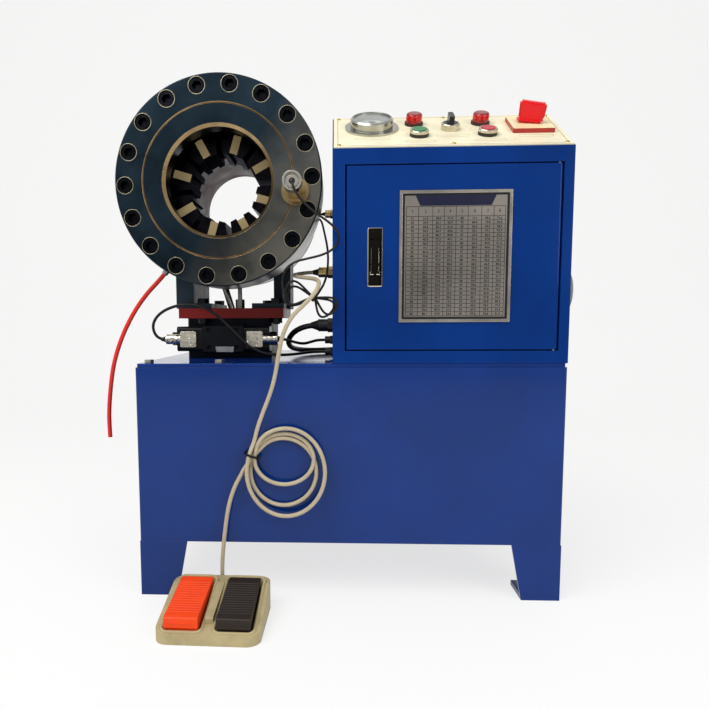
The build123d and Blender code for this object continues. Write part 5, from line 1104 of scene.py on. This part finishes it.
class CRIMPER_OT_foot_switch(CrimperOperator, bpy.types.Operator):
    """Finishes the twin foot switch"""
    bl_idname = "crimper.foot_switch"
    bl_label = "Foot switch"

    def execute(self, context):
        khaki = cast_paint("hammered_khaki_paint", colour("foot_switch"), 1.2, 0.02)
        dress(["foot_switch_housing"], khaki)
        self.make_well_rims(khaki)
        self.make_divider(khaki)
        dress(["orange_pedal"], moulded_plastic("orange_pedal_rubber", colour("orange"), 0.42, 1.0, 1.2))
        dress(["black_pedal"], moulded_plastic("black_pedal_rubber", colour("black"), 0.42, 1.0, 1.2))
        for side, name in ((-1, "orange_pedal"), (1, "black_pedal")):
            self.make_tread(side, name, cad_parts[name].material_slots[0].material)
        return {"FINISHED"}

    def make_well_rims(self, material):
        """Raised, rounded rims round the two pedal wells, on the housing's slope."""
        rims = []
        for side in (-1, 1):
            rim = rounded_ring(63.0 * MM, 127.0 * MM, 12.0 * MM, [
                (0.0, -6.0 * MM), (0.0, 1.2 * MM), (1.2 * MM, 2.6 * MM), (3.2 * MM, 2.9 * MM), (4.6 * MM, 1.8 * MM),
                (4.9 * MM, -6.0 * MM)])
            rim.transform(Matrix.Translation((side * PEDAL_OFFSET * MM, 66.0 * MM, 30.6 * MM))
                          @ Matrix.Rotation(WELL_SLOPE, 4, "X"))
            rims.append(rim)
        mesh = join_meshes("pedal_well_rims", rims)
        mesh.transform(FOOT_SWITCH_PLACE)
        piece("pedal_well_rims", mesh, material, "root", 50)

    def across(self, outline, width, middle):
        """Bar of one section in depth and height, laid across the foot switch."""
        mesh = prism([(y * MM, z * MM) for y, z in outline], width * MM)
        mesh.transform(FOOT_SWITCH_PLACE @ Matrix.Translation(((middle - width / 2) * MM, 0.0, 0.0))
                       @ Matrix.Rotation(math.radians(90.0), 4, "Z"))
        return mesh

    def make_divider(self, material):
        """Raised divider between the wells, with its step at the front."""
        outline = [(24.0, 15.0), (24.0, 27.0), (25.5, 29.0), (29.0, 30.5), (108.0, 44.8), (112.0, 44.8),
                   (114.0, 40.0)]
        piece("pedal_divider", self.across(outline, 12.0, 0.0), material, "root", 25)

    def make_tread(self, side, name, material):
        """Ribbed tread that rises towards the pedal's front."""
        outline = [(9.4, 19.5), (9.4, 33.2), (10.6, 34.8), (TREAD_FRONT_Y, TREAD_FRONT_Z)]
        for index in range(TREAD_RIBS):
            start = TREAD_FIRST_RIB + (TREAD_LAST_RIB - TREAD_FIRST_RIB) * index / TREAD_RIBS
            for along, drop in ((0.0, 0.0), (0.4, 0.9), (1.8, 0.9), (2.2, 0.0)):
                y = start + along
                outline.append((y, TREAD_FRONT_Z + (y - TREAD_FRONT_Y) * TREAD_RISE - drop))
        outline += [(113.5, 50.5), (113.5, 46.0)]
        piece(name + "_tread", self.across(outline, 48.4, side * PEDAL_OFFSET), material, name, 25)


def sheath(name, rgba, roughness):
    """Extruded PVC sheath: soft gloss, slight unevenness along its length."""
    return moulded_plastic(name, rgba, roughness, 1.5, 0.2)


class CRIMPER_OT_cables(CrimperOperator, bpy.types.Operator):
    """Lays the cables on their routes, with their ties and strain reliefs"""
    bl_idname = "crimper.cables"
    bl_label = "Cables"

    def execute(self, context):
        black = sheath("black_pvc_sheath", tint("#141312"), 0.3)
        grey = sheath("grey_beige_pvc_sheath", colour("foot_cable"), 0.4)
        dress(["cable_glands"], two_finishes("nylon_and_brass_gland", beyond("Z", 450 * MM),
                                             (tint("#141416"), 0.0, 0.38), (tint("#b8a06a"), 1.0, 0.24)))
        foot_route = FOOT_CABLE_UPPER + tuple(self.coil_points()) + FOOT_CABLE_LOWER
        self.lay("foot_switch_cable", foot_route, 6.5, 1.72, grey, ["foot_cable", "foot_cable_coil"], "medium")
        sensor_route = SENSOR_CABLE + tuple(self.hank_points()) + SENSOR_CABLE_REAR
        self.lay("sensor_lead", sensor_route, 3.5, 1.02, black, ["sensor_cable", "cable_hank"], "limp")
        self.lay("left_valve_lead", VALVE_CABLE_LEFT, 5.0, 0.40, black, ["valve_cable_left"], "medium")
        self.lay("right_valve_lead", VALVE_CABLE_RIGHT, 5.0, 0.09, black, ["valve_cable_right"], "medium")
        self.lay("motor_lead", MOTOR_CABLE, 10.0, 0.398, black, ["motor_cable"], "stiff")
        rubber = moulded_plastic("strain_relief_rubber", tint("#121214"), 0.45)
        for number, (near, far, root, cable, length) in enumerate((
                (FOOT_CABLE_UPPER[0], FOOT_CABLE_UPPER[1], 6.2, 6.5, 11.0),
                (SENSOR_CABLE_REAR[-1], SENSOR_CABLE_REAR[-2], 3.6, 3.5, 6.0),
                (VALVE_CABLE_LEFT[0], VALVE_CABLE_LEFT[1], 5.2, 5.0, 9.0),
                (VALVE_CABLE_RIGHT[0], VALVE_CABLE_RIGHT[1], 5.2, 5.0, 9.0),
                (MOTOR_CABLE[0], MOTOR_CABLE[1], 9.0, 10.0, 13.0)), 1):
            self.make_strain_relief("strain_relief_%d" % number, near, far, root, cable / 2, length, rubber)
        nylon = moulded_plastic("cable_tie_nylon", tint("#0e0e10"), 0.35)
        self.make_tie("coil_tie", (-150.6, -237.0, 234.7), (-0.35, 0.0, -0.94), 10.5, 9.0, nylon)
        self.make_tie("hank_tie", HANK_TIE, (0.94, 0.0, -0.34), 6.2, 6.4, nylon)
        return {"FINISHED"}

    def make_strain_relief(self, name, near, far, root, tip, length, material):
        """Ribbed rubber sleeve that tapers from a gland's nut to its cable."""
        profile = [(tip, -1.0), (root, -1.0)]
        ribs = 4
        for index in range(ribs):
            radius = root + (tip + 0.7 - root) * index / (ribs - 1)
            start, pitch = length * index / ribs, length / ribs
            profile += [(radius, start), (radius, start + pitch * 0.6), (radius - 0.45, start + pitch * 0.7),
                        (radius - 0.45, start + pitch)]
        profile.append((tip, length))
        mesh = lathe([(r * MM, z * MM) for r, z in profile], 28)
        mesh.transform(Matrix.Translation(Vector(near) * MM) @ aim(Vector(far) - Vector(near)))
        piece(name, mesh, material, "root", 35)

    def make_tie(self, name, centre, along, wide, deep, material):
        """Nylon tie round a bundle, with its locking head on the outside."""
        half = bpy.context.scene.crimper_sizes.tie_width / 2
        band = lathe([(1.0, -half), (1.0 + 0.14, -half), (1.0 + 0.14, half), (1.0, half), (1.0, -half)], 40)
        for vertex in band.vertices:
            vertex.co.x *= wide * MM
            vertex.co.y *= deep * MM
        edge = -wide * MM
        head = slabs([((edge - 4.2 * MM, -2.6 * MM, -half * 1.3), (edge, 2.6 * MM, half * 1.3))], 0.5 * MM)
        mesh = join_meshes(name, [band, head])
        mesh.transform(Matrix.Translation(Vector(centre) * MM) @ across_frame(along))
        piece(name, mesh, material, "root", 35)

    def lay(self, name, route, diameter_mm, length, material, nodes, stiffness, far_end="object"):
        cable = cord_line(name, route, diameter_mm * MM, material, "root")
        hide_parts(*nodes)

    def coil_points(self):
        """Three loose turns that all pass the cable tie at their left."""
        following = COIL_TURNS[1:] + COIL_TURNS[-1:]
        for (x, z, a, b, y, start), after in zip(COIL_TURNS, following):
            for step in range(COIL_STEPS):
                share = step / COIL_STEPS
                angle = math.radians(start + 360 * share)
                depth = y + (after[4] - y) * share
                yield x + a * math.cos(angle), depth, z + b * math.sin(angle)

    def hank_points(self):
        """Loops of the hank, left and right of its tie in turn, after the half loop that brings the cable in."""
        for step in range(HANK_STEPS // 2 + 1, HANK_STEPS):
            yield self.loop_point(HANK_FIRST, step / HANK_STEPS)
        for loop in HANK_LOOPS:
            for step in range(HANK_STEPS):
                yield self.loop_point(loop, step / HANK_STEPS)

    def loop_point(self, loop, share):
        """Point of a drop-shaped loop that leaves its tie level and comes back to it level."""
        length, half_width, slope, depth = loop
        angle = 2 * math.pi * share
        u = length * (1 - math.cos(angle)) / 2
        v = -half_width * math.sin(angle) * (1 - math.cos(angle)) / 1.3
        lean = math.radians(slope)
        x, y, z = HANK_TIE
        return (x + u * math.cos(lean) - v * math.sin(lean), y + (depth - y) * math.sin(angle / 2),
                z + u * math.sin(lean) + v * math.cos(lean))


class CRIMPER_OT_red_tube(CrimperOperator, bpy.types.Operator):
    """Hangs the red drain tube from its fitting"""
    bl_idname = "crimper.red_tube"
    bl_label = "Red tube"

    def execute(self, context):
        soft = moulded_plastic("red_polyurethane_tube", colour("red_tube"), 0.25, 1.5, 0.2)
        tube = cord_line("red_drain_tube", RED_TUBE, 8.0 * MM, soft, "root")
        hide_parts("red_tube")
        return {"FINISHED"}


class CRIMPER_PT_panel(bpy.types.Panel):
    """Lists the operators in the 3D view's sidebar"""
    bl_label = "Hose crimping machine"
    bl_idname = "CRIMPER_PT_panel"
    bl_space_type = "VIEW_3D"
    bl_region_type = "UI"
    bl_category = "Crimper"

    def draw(self, context):
        for operator in OPERATORS:
            self.layout.operator(operator.bl_idname)


OPERATORS = (
    CRIMPER_OT_stage, CRIMPER_OT_paintwork, CRIMPER_OT_head, CRIMPER_OT_underhead, CRIMPER_OT_panel,
    CRIMPER_OT_gauge, CRIMPER_OT_controls, CRIMPER_OT_size_table, CRIMPER_OT_latch, CRIMPER_OT_inner_gear,
    CRIMPER_OT_foot_switch, CRIMPER_OT_cables, CRIMPER_OT_red_tube,
)
GROUPS = (
    ("crimper_colours", CrimperColours), ("crimper_sizes", CrimperSizes), ("crimper_stage", CrimperStage))
CLASSES = tuple(group for _, group in GROUPS) + OPERATORS + (CRIMPER_PT_panel,)


def register():
    for item in CLASSES:
        bpy.utils.register_class(item)
    for name, group in GROUPS:
        setattr(bpy.types.Scene, name, bpy.props.PointerProperty(type=group))


def unregister():
    for name, _ in GROUPS:
        delattr(bpy.types.Scene, name)
    for item in reversed(CLASSES):
        bpy.utils.unregister_class(item)


def corners(bounds):
    return [list(corner) for corner in bounds]


def main():
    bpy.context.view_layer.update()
    register()
    for operator in OPERATORS:
        space, action = operator.bl_idname.split(".")
        getattr(getattr(bpy.ops, space), action)()


if __name__ == "__main__":
    main()
